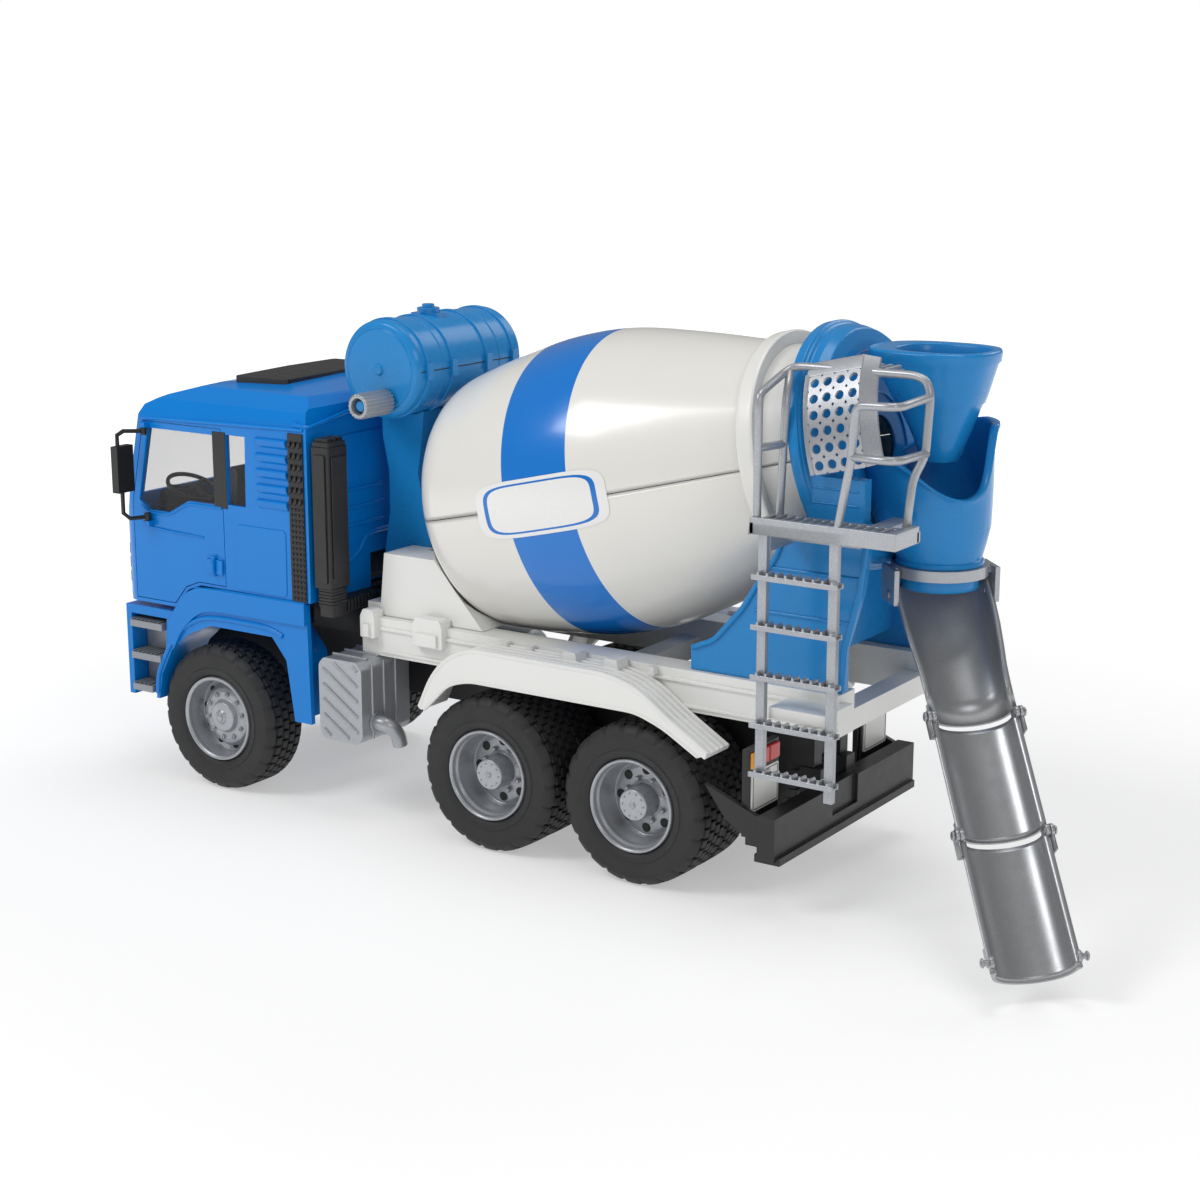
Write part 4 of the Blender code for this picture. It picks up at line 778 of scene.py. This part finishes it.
def hookEars(t, lower):
    # lower: ears with pins at a trough's bottom end; otherwise the hooks of the next trough that hold them
    parts = []
    for side in (-1, 1):
        if lower:
            parts += [chutePin(t, chute["lift"], side * 19.2, side * 21.2, 2.9),
                chutePin(t, chute["lift"], side * 19, side * 24.6, 1.4),
                chutePin(t, chute["lift"], side * 23.6, side * 24.6, 2.2),
                chuteBlock((t - 8, t + 0.5), out(side, 19.2, 20.8), (-4.0, 0.6))]
        else:
            parts += [chutePin(t, chute["lift"], side * 21.4, side * 23.2, 3.1),
                chuteBlock((t + 0.5, t + 10), out(side, 21.5, 22.9), (-3.4, 2.2)),
                chuteBlock((t + 5, t + 9.6), out(side, 18.6, 22.4), (-4.2, -1.4))]
    return parts


length, pitch = chute["length"], chute["pitch"]
mainTrough = troughShell([(-1, 22.4, 12.5), (1.5, 22.8, 13.5), (6, 23.0, 14.6), (16, 23.0, 15.6),
    (28, 22.6, 16.2), (40, 21.6, 16.2), (50, 20.6, 15.8), (60, 20.2, 15.4), (length - 1.8, 20.0, 15.2)])
make("chute_trough_main", together(mainTrough, *hookEars(length, True),
    *[chutePin(6, -4, side * 21.0, side * 27.2, 2.2) for side in (-1, 1)]), "chuteSilver", "chute",
    "chute_main")
for number in (1, 2):
    start = length + pitch * (number - 1)
    end = start + pitch
    last = end - 1.8 if number == 1 else end + 5
    stations = [(start + 1.4, 19.6, 14.6), (start + 3.2, 20.0, 15.2), (start + 12, 20.0, 15.2),
        ((start + last) / 2, 20.0, 15.2), (last - 3, 20.0, 15.2), (last, 19.9, 15.1)]
    make(f"chute_trough_{number}", together(troughShell(stations), *hookEars(start, False),
        *hookEars(end, True)), "chuteSilver", f"extension_{number}", f"chute_extension_{number}")
print("chute made")

# ---- platform, rails, ladder and punched panel

rails = dict(radius=1.95, bend=4.5)
railPaths = [[(352.5, -81, 196), (352.5, -81, 252), (352, -79, 255.5), (350, -55, 261.5), (352, -50, 264),
    (356, -48.5, 265), (415, -48.5, 265), (421, -49, 263), (423.5, -50, 257), (423.5, -53, 230),
    (419.5, -57, 219), (419.5, -62.5, 196)], [(394.5, -82, 196), (401, -82, 231), (402, -82, 251),
    (404, -82, 254.5), (419, -83, 255), (423.5, -80, 255), (423.5, -50.6, 256)],
    [(400.5, -82, 231), (419, -83, 231), (423.5, -80, 231), (423.5, -52.5, 230.5)],
    [(355, -64, 196), (355, -60, 250), (352.5, -52, 263)], [(352.5, -81, 230.5), (355, -60.5, 230)]]
make("rails_bent", together(*[pipe(path, rails["radius"], 14, rails["bend"], 5) for path in railPaths]),
    "silverPlastic", "chassis", "guard_rail")

curb = [block((350, 425), (-84, -81.4), (190.6, 198.6)), block((421.6, 425), (-82, -60), (190.6, 198.6)),
    block((350, 352.4), (-84, -57.5), (190.6, 196.4)), block((350, 425), (-62.4, -58.6), (190.8, 196.2))]
bars = [slab([(x, 192), (x + 1.4, 196.9), (x + 2.6, 196.9), (x + 3.0, 192)], -82, -61)
    for x in np.arange(355, 420, 4.6)]
underneath = [block((354, 421), (-72.6, -71), (191.0, 193.6)), block((399, 409), (-61, -34), (191, 195.7)),
    block((356, 396), (-61.5, -52.5), (184.5, 191.2)), block((356, 358), (-78, -56), (182, 191.6))]
make("deck_grid", together(*curb, *bars, *underneath), "silverPlastic", "chassis", "platform", bevel=0.35)

ladderSettings = dict(rungs=(170.7, 146.7, 122.5, 99.0, 74.8), teeth=9)
ladderRails = [slab([(x - 2.3, low), (x + 2.3, low), (x + 2.3, 191.6), (x - 2.3, 191.6)], -80.8, -77.4)
    for x, low in ((355.5, 74), (392.5, 66))]
ladderRungs = []
for z in ladderSettings["rungs"]:
    ladderRungs += [block((351.6, 396.6), (-84.4, -83.2), (z - 1.6, z + 1.0)),
        block((351.6, 396.6), (-78.8, -77.6), (z - 1.6, z + 1.0)),
        block((352, 396.2), (-83.6, -78.2), (z - 1.6, z - 0.6))]
    for x in np.linspace(354, 392.6, ladderSettings["teeth"]):
        ladderRungs += [slab([(x, z - 1), (x + 0.5, z + 2.4), (x + 1.7, z + 2.4), (x + 2.2, z - 1)], -84.2,
            -78.0)]
make("ladder_serrated", together(*ladderRails, *ladderRungs), "silverPlastic", "chassis", "ladder", bevel=0.3)

panel = dict(columns=4, rows=6, low=262.4, high=289.6, first=-6.0, last=36.0, radius=64.4, hole=2.25,
    thick=1.3, points=24)


def punchedPanel():
    # square cells with round holes, laid out flat and bent round the drum's axis
    # a second layer gives the thickness
    p = panel
    turn = np.linspace(0, 2 * np.pi, p["points"], endpoint=False) + np.pi / p["points"]
    cellU = (p["high"] - p["low"]) / p["columns"]
    cellV = math.radians(p["last"] - p["first"]) * p["radius"] / p["rows"]
    c, d = np.cos(turn), np.sin(turn)
    square = 1 / np.maximum(np.abs(c), np.abs(d))
    flat = np.stack([np.stack([p["hole"] * c, p["hole"] * d], -1),
        np.stack([c * square * cellU / 2, d * square * cellV / 2], -1)])
    points, faces = [], []
    for layer, lift in enumerate((0.0, p["thick"])):
        for i in range(p["columns"]):
            for j in range(p["rows"]):
                u = p["low"] + (i + 0.5) * cellU + flat[..., 0]
                angle = math.radians(p["first"]) + ((j + 0.5) * cellV + flat[..., 1]) / p["radius"]
                r = p["radius"] - lift
                local = aboutDrum(u, r, -np.sin(angle), -np.cos(angle))
                faces += gridFaces(2, p["points"], False, True, sum(map(len, points)))
                points.append(local.reshape(-1, 3))
    total = sum(map(len, points)) // 2
    for cell in range(p["columns"] * p["rows"]):
        ring = np.arange(p["points"]) + cell * 2 * p["points"]
        faces += np.stack([ring, np.roll(ring, -1), np.roll(ring, -1) + total, ring + total], -1).tolist()
    return np.concatenate(points), faces


def bentStrip(u0, u1, first, last, radii, thick=1.4):
    # a strip bent round the drum's axis, its radius changing from one side to the other
    angle = np.radians(np.linspace(first, last, 14))[:, None]
    u = np.array([u0, u1, u1, u0])[None, :]
    r = np.array([radii[0], radii[1], radii[1] - thick, radii[0] - thick])[None, :]
    return loft(aboutDrum(u + 0 * angle, (r + 0 * angle)[..., None], -np.sin(angle), -np.cos(angle)))


make("panel_punched", punchedPanel(), "silverPlastic", "chassis", "perforated_panel", sharp=40)
shelf = [block((367, 402), (-46.6, -33), (262.6, 265.4))] + [block((x, x + 2.2), (-46.8, -33), (265.0, 267.2))
    for x in np.arange(369, 399, 4.2)]
make("panel_frame", together(bentStrip(260.6, 262.6, -6, 37, (65.4, 64.6)),
    bentStrip(289.4, 296.5, -6, 43, (64.4, 60.0)), bentStrip(261, 290, 36, 43, (64.6, 64.4)), *shelf),
    "silverPlastic", "chassis", bevel=0.3)
print("platform and ladder made")

# ---- cab trim

for sideName, side in (("left", -1), ("right", 1)):
    louvres = []
    for z in np.linspace(172.6, 206.4, 5):
        profile = softened([(side * 74.4, z + 0.9), (side * 76.9, z + 0.2), (side * 77.2, z - 1.0),
            (side * 76.2, z - 3.4), (side * 74.4, z - 5.6)], 0.6, 3)
        louvres.append(slab(profile, 37.5, 59.4, "yz"))
    hatch = slab([(19.6, 119.8), (56.4, 119.8), (56.8, 157), (20.6, 157)], *out(side, 74.6, 75.5), cut=3.0)
    gutter = pipe([(-50, side * 74.6, 210.2), (-20, side * 75.1, 211.2), (20, side * 75.2, 212.2),
        (71, side * 74.9, 213.2)], 1.1, 10, 6)
    corner = slab([(-66.0, 104.6), (-67.2, 112), (-67.2, 141), (-65.2, 148), (-61.6, 149), (-60.2, 144),
        (-60.2, 104.6)], *out(side, 70.5, 74.9), cut=1.6)
    character = pipe([(-50, side * 75.05, 148.6), (-30, side * 75.5, 147.2), (-4, side * 75.05, 146.4)], 0.7,
        8, 3)
    make(f"{sideName}_cab_trim", together(*louvres, hatch, gutter), "cabBlue", "cab", bevel=0.4)
    make(f"{sideName}_cab_corner", turnedIn(corner), "cabBlue", "cab", bevel=0.4)
    slots = [turnedIn(block((-67.7, -65.2), out(side, 72.6, 75.3), (z, z + 6.2)))
        for z in (113.4, 121.6, 129.8)]
    mesh = [block((60.4, 70.8), out(side, 74.4, 75.9), (118.9, 211))]
    for z in np.linspace(120, 169, 17):
        mesh += [block((x, x + 1.5), out(side, 75.4, 76.5), (z, z + 1.5)) for x in (61.3, 63.8, 66.3, 68.8)]
    for z in np.linspace(172, 203, 6):
        mesh += [slab([(x, z), (x + 2.3, z + 1.4), (x + 2.3, z + 4.0), (x, z + 2.6)], *out(side, 75.4, 77.2))
            for x in (61.0, 64.4, 67.8)]
    pillar = block((5.2, 14.8), out(side, 71.8, 75.4), (164.6, 207.2))
    make(f"{sideName}_cab_black_trim", together(*slots, *mesh, pillar), "blackPlastic", "cab", bevel=0.25)
    make(f"{sideName}_quarter_pane", slab([(14.4, 166.4), (14.4, 206.6), (29.6, 206.6), (28.6, 166.4)],
        *out(side, 73.0, 73.8), cut=1.0), "clearPlastic", "cab")
    make(f"{sideName}_door_pane", slab([(-53.4, 162.6), (-44.2, 205.4), (5.4, 205.4), (5.4, 165.6),
        (-15, 165.6), (-30, 157.6), (-46, 157.6)], *out(side, 73.2, 73.9)), "clearPlastic",
        f"{sideName}_door")
    sill = pipe([(-52, side * 75.0, 160), (-46, side * 75.1, 156.6), (-30, side * 75.1, 156.6),
        (-15, side * 75.1, 164.6), (10.4, side * 75.1, 164.6)], 0.9, 8, 4)
    recess = slab([(-1.6, 125.6), (9.6, 125.6), (9.6, 137), (-1.6, 137)], *out(side, 74.4, 75.4), cut=1.4)
    pull = pipe([(4, side * 75.2, 136.6), (4, side * 77.4, 134.6), (4, side * 77.4, 128),
        (4, side * 75.2, 126.4)], 1.5, 10, 1.6, 3, squash=0.8)
    make(f"{sideName}_door_trim", together(sill, recess, pull, character), "cabBlue", f"{sideName}_door",
        bevel=0.4)
    make(f"{sideName}_door_lock", rod((1.5, side * 75.3, 128.5), (1.5, side * 76.2, 128.5), 1.3, 16),
        "blackPlastic", f"{sideName}_door")
    arch = [(-45.5, 50), (-44.4, 62), (-38, 74), (-31.5, 84), (-22, 93), (-9, 99.8), (6, 101.6), (40, 101.4),
        (52, 97.5)]
    flare = pipe([(x, side * 75.2, z) for x, z in arch], 1.5, 10, 9, squash=0.8)
    bandOut = [*smoothCurve([(-34.6, 84), (-33.4, 93), (-29.8, 100), (-25.6, 105.6), (-18.2, 113.2),
        (-8.6, 117.2), (7, 117.8)], 5), (69.4, 118.2)]
    bandIn = [(69.4, 105.6), *smoothCurve([(8, 105.2), (-3, 104.2), (-11, 101), (-18.6, 95), (-24.6, 88),
        (-29.2, 80)], 5)]
    shoulder = slab(bandOut + bandIn, *out(side, 74.0, 76.9))
    ledge = pipe([(-12, side * 75.6, 116.4), (7, side * 75.6, 117.4), (69.2, side * 75.6, 117.8)], 1.1, 10, 5,
        squash=0.9)
    treads = [block((-62.6 + 3.3 * k, -61.2 + 3.3 * k), out(side, 63.5, 76.4), (z + 2.0, z + 2.9))
        for z, n in ((90, 7), (71, 6), (52, 4)) for k in range(n)]
    make(f"{sideName}_arch_trim", together(flare, shoulder, ledge), "cabBlue", "chassis", bevel=0.8)
    make(f"{sideName}_step_treads", together(*treads), "greyPlastic", "chassis")

roofHatch = slab([(0, -50), (-5, 0), (-4, 40), (33, 40), (32, 6), (36, -46)], 230.6, 234.8, "xy", cut=2.5)
grille = [block((-68.6, -66.8), (-42, 42), (z, z + 3.4)) for z in (114, 121, 128, 135)]
make("cab_hatch_and_grille", together(roofHatch, *grille), "blackPlastic", "cab", bevel=0.5)
rearRibs = [pipe([(73.1, y, z), (73.1, y + 36, z)], 1.0, 8, 1) for y in (-48, 12) for z in (176, 166, 156)]
rearArch = [pipe([(73.2, -54, 118), (73.2, -50, 134), (73.2, -34, 140), (73.2, -27, 150), (73.2, 27, 150),
    (73.2, 34, 140), (73.2, 50, 134), (73.2, 54, 118)], 1.5, 10, 7)]
rearPanels = [slab([(y, 180), (y + 42, 180), (y + 42, 207), (y, 207)], 72.6, 73.7, "yz", cut=3)
    for y in (-52, 10)]
roofEdge = [pipe([(64, -74.5, 216), (70.5, -74.4, 215), (72.6, -73.0, 214.4), (72.8, -40, 219.5),
    (72.8, 0, 221), (72.8, 40, 219.5), (72.6, 73.0, 214.4), (70.5, 74.4, 215)], 1.2, 10, 3)]
make("cab_rear_trim", together(*rearRibs, *rearArch, *rearPanels, *roofEdge), "cabBlue", "cab", bevel=0.4)
headlamps = [slab([(y, 62), (y + side * 22, 62), (y + side * 22, 76), (y, 76)], -69.0, -67.4, "yz", cut=2.5)
    for side, y in ((-1, -46), (1, 46))]
make("headlamps", together(*headlamps), "lampClear", "chassis", bevel=0.4)
indicators = [block((-68.9, -67.4), out(side, 46, 68), (79, 83)) for side in (-1, 1)]
make("front_indicators", together(*indicators), "lampAmber", "chassis", bevel=0.4)
bumperGrille = [block((-68.6, -67.0), (-40, 40), (z, z + 4)) for z in (56, 64, 72)]
make("bumper_grille", together(*bumperGrille, slab([(-30, 84), (30, 84), (30, 94), (-30, 94)], -68.8, -67.6,
    "yz", cut=1.5)), "dullBlack", "chassis", bevel=0.4)

cabin = dict(middle=(-47.0, -38.0, 165.0), radius=16.0, lean=24.0)
lean = math.radians(cabin["lean"])
ringAxis = (math.sin(lean), 0, math.cos(lean))
rimLoop = softened([(cabin["radius"] - 2.2, -1.1), (cabin["radius"], -1.1), (cabin["radius"], 1.1),
    (cabin["radius"] - 2.2, 1.1)], 0.7, 3, True)
u, v = crossAxes(ringAxis)
middle = np.array(cabin["middle"], float)
spokes = [rod(middle, middle + (cabin["radius"] - 1.4) * (math.cos(t) * u + math.sin(t) * v), 1.3, 8)
    for t in np.radians([20, 160, 270])]
hub = lathe(softened([(0, -1.8), (3.8, -1.8), (3.8, 1), (0, 1.4)], 0.5, 3), middle, ringAxis, 24)
column = rod((-56, -38, 150), middle, 2.3, 12)
make("steering_wheel", together(lathe(rimLoop, middle, ringAxis, 48, closed=True), hub, *spokes, column),
    "blackPlastic", "cab")
floorPlate = block((-29, 69), (-71, 71), (122, 124))
dash = slab([(-60, 123), (-60, 152), (-57, 156.4), (-49, 157), (-42, 150), (-44, 123)], -70, 70, cut=1.6)
cowlOver = slab([(-60.4, 152), (-58.4, 163.6), (-53, 164.8), (-48.6, 157), (-49, 152)], -54, -22, cut=1.4)
seatBacks, cushions = [], []
for low, high in ((-57, -19), (19, 57)):
    seatBacks.append(slab([(-9, 141), (-3.6, 181), (-1.8, 184), (4.6, 184), (6.0, 181), (2, 124), (-6, 124)],
        low, high, cut=1.6))
    cushions.append(slab([(-33, 126), (-34, 142), (-31, 145.6), (-8, 143.4), (-6, 126)], low, high, cut=1.6))
make("cab_inside", together(floorPlate, dash, cowlOver, *seatBacks, *cushions,
    block((-44, -29), (-60, 60), (122, 124))), "blackPlastic", "cab", "cab_interior", bevel=0.8)
print("cab trim made")

# ---- intake stack, silencer and frame trim

stack = slab([(75.6, -75), (88, -75), (88, -58.6), (75.6, -58.6)], 128, 205, "xy", cut=1.6)
cowl = [slab([(75.6, -74.4), (87.6, -74.4), (87.6, -59.2), (75.6, -59.2)], 205, 207.6, "xy", cut=1.6),
    *[block((77.5, 85.8), (y, y + 3.0), (207, 209.4)) for y in (-72.6, -67.8, -63)]]
panels = [slab([(78, 131), (85.8, 131), (85.8, 201), (78, 201)], -76.0, -74.6, cut=1.2),
    block((88.0, 88.9), (-73, -60.6), (134, 200))]
bellows = [slab([(76.4 - 0.4 * (k % 2), -73.6), (87.4 + 0.4 * (k % 2), -73.6), (87.4 + 0.4 * (k % 2), -60.4),
    (76.4 - 0.4 * (k % 2), -60.4)], 117.5 + k * 1.75, 119.0 + k * 1.75, "xy", cut=2.4) for k in range(6)]
foot = [slab([(76.6, -73), (87.2, -73), (87.2, -60.8), (76.6, -60.8)], 112, 129, "xy", cut=2.4)]
corrugated = [slab([(77.2, 112.6), (86.8, 112.6), (86.8, 120.4), (77.2, 120.4)], y, y + 1.7, cut=2.2)
    for y in np.arange(-60, -31, 2.9)] + [slab([(78.2, 113.4), (85.8, 113.4), (85.8, 119.6), (78.2, 119.6)],
    -62, -30, cut=2)]
make("stack_moulded", together(stack, *cowl, *panels, *bellows, *foot, *corrugated), "blackPlastic",
    "chassis", "air_intake_stack", bevel=0.35)

boxOutline = [(77, 48), (80.5, 44), (103.5, 44), (107, 48), (107, 86), (103.5, 90), (80.5, 90), (77, 86)]
canister = slab(boxOutline, -75, -34, cut=1.8)
outerRibs = []
for offset in np.arange(-34, 40, 8.6):
    line = np.array([(80.0, 67 + offset + 8), (104.0, 67 + offset - 8)])
    t = np.clip([(46.5 - line[0, 1]) / (line[1, 1] - line[0, 1]),
        (87.5 - line[0, 1]) / (line[1, 1] - line[0, 1])], 0, 1)
    t0, t1 = sorted(t)
    if t1 - t0 > 0.12:
        a, b = line[0] + (line[1] - line[0]) * t0, line[0] + (line[1] - line[0]) * t1
        outerRibs.append(pipe([(a[0], -75.1, a[1]), (b[0], -75.1, b[1])], 0.95, 8, 1))
edgeRibs = [pipe([(x0, y, z0), (x1, y, z1)], 0.8, 8, 1) for x0, z0, x1, z1 in ((107.1, 46, 107.1, 88),
    (80, 90.1, 104, 90.1)) for y in (-66, -56, -46)]
band = [lathe(softened([(4.0, 107.0), (5.4, 107.0), (5.4, 108.6), (4.0, 108.6)], 0.3, 2, True), (0, -64, 55),
    (1, 0, 0), 28, closed=True)]
tail = pipe([(104, -64, 55), (113, -64, 55), (117, -61.5, 52.6), (118, -58, 48), (118, -56.4, 42)], 4.2, 22,
    5, 6)
make("silencer_ribbed", together(canister, *outerRibs, *edgeRibs, *band, tail), "silverPlastic", "chassis",
    "exhaust_silencer", bevel=0.5)

for sideName, side in (("left", -1), ("right", 1)):
    top = softened([(148.6, 73.4), (156.6, 90.6), (166.8, 101.8), (180.8, 108.6), (266, 108.6),
        (284.4, 103.6), (301.4, 91.4), (325, 77.4)], 8, 6)
    ribs = [pipe([(x, side * y, z) for x, z in top], 0.85, 8, 0.01, 3) for y in (57.5, 62.2, 66.8, 71.4)]
    edge = pipe([(x, side * 77.2, z + 0.2) for x, z in top], 1.3, 10, 0.01, 3)
    lowEdge = pipe([(152, side * 77.9, 72.6), (168, side * 77.9, 88.6), (181, side * 77.9, 92.4),
        (284, side * 77.9, 92.4), (300, side * 77.9, 87), (320, side * 77.9, 75.6)], 0.9, 8, 6)
    studs = [slab([(x, 108), (x + 9, 108), (x + 8, 113.4), (x + 1, 113.4)], *out(side, 56.2, 66), cut=0.8)
        for x in (232, 257)]
    studs += [block((x, x + 3), out(side, 56, 60), (107, 111)) for x in (190, 206, 280)]
    make(f"{sideName}_fender_ribs", together(*ribs, edge, lowEdge, *studs), "whitePlastic", "chassis",
        bevel=0.3)
    clamps = []
    for x0, x1 in ((94, 104), (130, 150)):
        clamps += [slab([(x0, 100), (x0, 112), (x0 + 2, 116), (x1 - 2, 116), (x1, 112), (x1, 100)],
            *out(side, 52, 59.4), cut=1.2), block((x0 + 3, x1 - 3), out(side, 59, 61), (101, 108))]
    channel = [block((106, 384), out(side, 54.2, 56.4), (104.6, 106.4)),
        block((106, 384), out(side, 54.2, 56.0), (92, 93.6))]
    make(f"{sideName}_frame_clamps", together(*clamps, *channel), "whitePlastic", "chassis", bevel=0.5)
    standRibs = [pipe([(301, side * 52.1, 122.4), (313, side * 52.1, 127.4), (329, side * 52.1, 145.6),
        (338.6, side * 52.1, 161.4), (346.4, side * 52.1, 172.2), (353, side * 52.1, 188.6)], 1.5, 10, 4),
        pipe([(336, side * 52.1, 146), (388.5, side * 52.1, 146)], 0.9, 8, 1),
        pipe([(345, side * 52.1, 168), (392, side * 52.1, 168)], 0.9, 8, 1),
        pipe([(384, side * 52.1, 113), (384.6, side * 52.1, 132), (391.6, side * 52.1, 160),
        (395.4, side * 52.1, 188)], 1.5, 10, 4)]
    make(f"{sideName}_stand_ribs", together(*standRibs), "bodyBlue", "chassis")
    lampBase = [block((345.0, 346.4), out(side, 44.6, 73.4), (46, 82.4))]
    make(f"{sideName}_lamp_base", together(*lampBase), "blackPlastic", "chassis", bevel=0.4)
    amber = block((345.8, 348.0), out(side, 66.6, 72.6), (72.6, 80.6))
    red = [block((345.8, 348.0), out(side, (46 + 10.4 * k), (55.6 + 10.4 * k)), (72.6, 80.6)) for k in (0, 1)]
    make(f"{sideName}_lamp_amber", amber, "lampAmber", "chassis", bevel=0.6)
    make(f"{sideName}_lamp_red", together(*red), "lampRed", "chassis", bevel=0.6)
    plate = slab([(side * 46, 50.4), (side * 72, 50.4), (side * 72, 70.6), (side * 46, 70.6)], 346.2, 347.2,
        "yz", cut=1.2)
    frameLine = pipe([(347.1, side * 47.2, 51.6), (347.1, side * 70.8, 51.6), (347.1, side * 70.8, 69.4),
        (347.1, side * 47.2, 69.4)], 0.28, 6, 0.8, 3, True)
    make(f"{sideName}_plate_blank", plate, "plateWhite", "chassis", bevel=0.2)
    make(f"{sideName}_plate_line", frameLine, "blackPlastic", "chassis")
print("frame trim made")

# ---- everything that keeps its CAD solid

keptParts = {
    "cabBlue": "cab_shell front_fairing left_door right_door",
    "bodyBlue": "drive_housing rear_stand",
    "whitePlastic": "drum_pedestal left_rear_fender right_rear_fender mixer_subframe mixing_blades",
    "blackPlastic": "chassis_frame engine_block left_mirror right_mirror rear_bumper",
    "silverPlastic": "chute_swivel",
    "greyPlastic": "fuel_tank left_roller right_roller left_steps right_steps",
    "steel": "crank_shaft drum_journal front_axle rear_axle_1 rear_axle_2 upright_drive_shaft",
    "clearPlastic": "windscreen",
}
for finish, parts in keptParts.items():
    for part in parts.split():
        refined(part, finish)
print("CAD parts refined")

# ---- stage: pale floor, soft light and the camera

stageSettings = dict(halfFloor=60.0, camera=(845.952, -952.704, 396.096), azimuth=33.672, elevation=13.361,
    lens=65.996, floor=(0.62, 0.62, 0.62), glow=(0.40, 0.77), reach=(0.3, 1.2), sky=1.0, ambient=0.42,
    mirrored=0.22)


stageLights = {
    # place, aim, size and power
    "keyLight": ((-0.9, -1.3, 1.7), (0, 0, 0.12), 0.8, 17),
    "fillLight": ((1.6, -1.2, 1.2), (0, 0, 0.1), 0.7, 5),
    "topLight": ((0.1, 0.2, 2.2), (0, 0, 0), 1.0, 11),
    "backLight": ((0.4, 1.9, 1.4), (0, 0, 0.12), 0.9, 6),
}


def setStage():
    # a glowing floor under a plain sky, four soft lights and the camera
    s = stageSettings
    scene = bpy.context.scene
    mesh = bpy.data.meshes.new("floor")
    mesh.from_pydata([(x * s["halfFloor"], y * s["halfFloor"], 0)
        for x, y in ((-1, -1), (1, -1), (1, 1), (-1, 1))], [], [(0, 1, 2, 3)])
    floor = bpy.data.objects.new("floor", mesh)
    paper = bpy.data.materials.new("paleFloor")
    paper.use_nodes = True
    tree = paper.node_tree
    shader = tree.nodes["Principled BSDF"]
    shader.inputs["Base Color"].default_value = (*s["floor"], 1)
    shader.inputs["Roughness"].default_value = 0.75
    shader.inputs["Specular IOR Level"].default_value = 0.2
    shader.inputs["Emission Color"].default_value = (1, 1, 1, 1)
    place = node(tree, "ShaderNodeTexCoord", (-900, -200))
    far = node(tree, "ShaderNodeVectorMath", (-700, -200), operation="LENGTH")
    lift = node(tree, "ShaderNodeMapRange", (-500, -200), interpolation_type="SMOOTHSTEP")
    lift.inputs["From Min"].default_value, lift.inputs["From Max"].default_value = s["reach"]
    lift.inputs["To Min"].default_value, lift.inputs["To Max"].default_value = s["glow"]
    link(tree, place, "Object", far, 0)
    link(tree, far, "Value", lift, "Value")
    link(tree, lift, "Result", shader, "Emission Strength")
    mesh.materials.append(paper)
    scene.collection.objects.link(floor)
    world = bpy.data.worlds.new("studio")
    world.use_nodes = True
    sky = world.node_tree
    back = sky.nodes["Background"]
    back.inputs["Color"].default_value = (1.0, 1.0, 1.0, 1)
    seen = sky.nodes.new("ShaderNodeLightPath")
    level = sky.nodes.new("ShaderNodeMapRange")
    level.inputs["To Min"].default_value, level.inputs["To Max"].default_value = s["ambient"], s["sky"]
    link(sky, seen, "Is Camera Ray", level, "Value")
    dimmer = node(sky, "ShaderNodeMath", (-300, -200), operation="MULTIPLY")
    dimmer.inputs[1].default_value = s["mirrored"] - s["ambient"]
    total = node(sky, "ShaderNodeMath", (-150, 0), operation="ADD")
    link(sky, seen, "Is Glossy Ray", dimmer, 0)
    link(sky, level, "Result", total, 0)
    link(sky, dimmer, 0, total, 1)
    link(sky, total, 0, back, "Strength")
    scene.world = world
    for name, (place, aim, size, power) in stageLights.items():
        light = bpy.data.lights.new(name, "AREA")
        light.size, light.energy = size, power
        lamp = bpy.data.objects.new(name, light)
        lamp.location = place
        lamp.rotation_euler = (Vector(aim) - Vector(place)).to_track_quat("-Z", "Y").to_euler()
        scene.collection.objects.link(lamp)
    eye = bpy.data.cameras.new("camera")
    eye.lens, eye.sensor_width, eye.clip_end = s["lens"], 36.0, 200.0
    camera = bpy.data.objects.new("camera", eye)
    camera.location = Vector(s["camera"]) * 0.001 + Vector(truckZero)
    a, e = math.radians(s["azimuth"]), math.radians(s["elevation"])
    back = Vector((math.sin(a) * math.cos(e), -math.cos(a) * math.cos(e), math.sin(e)))
    camera.rotation_mode = "QUATERNION"
    camera.rotation_quaternion = (-back).to_track_quat("-Z", "Y")
    scene.collection.objects.link(camera)
    scene.camera = camera
    scene.view_settings.view_transform = "Standard"


setStage()
print("stage set")
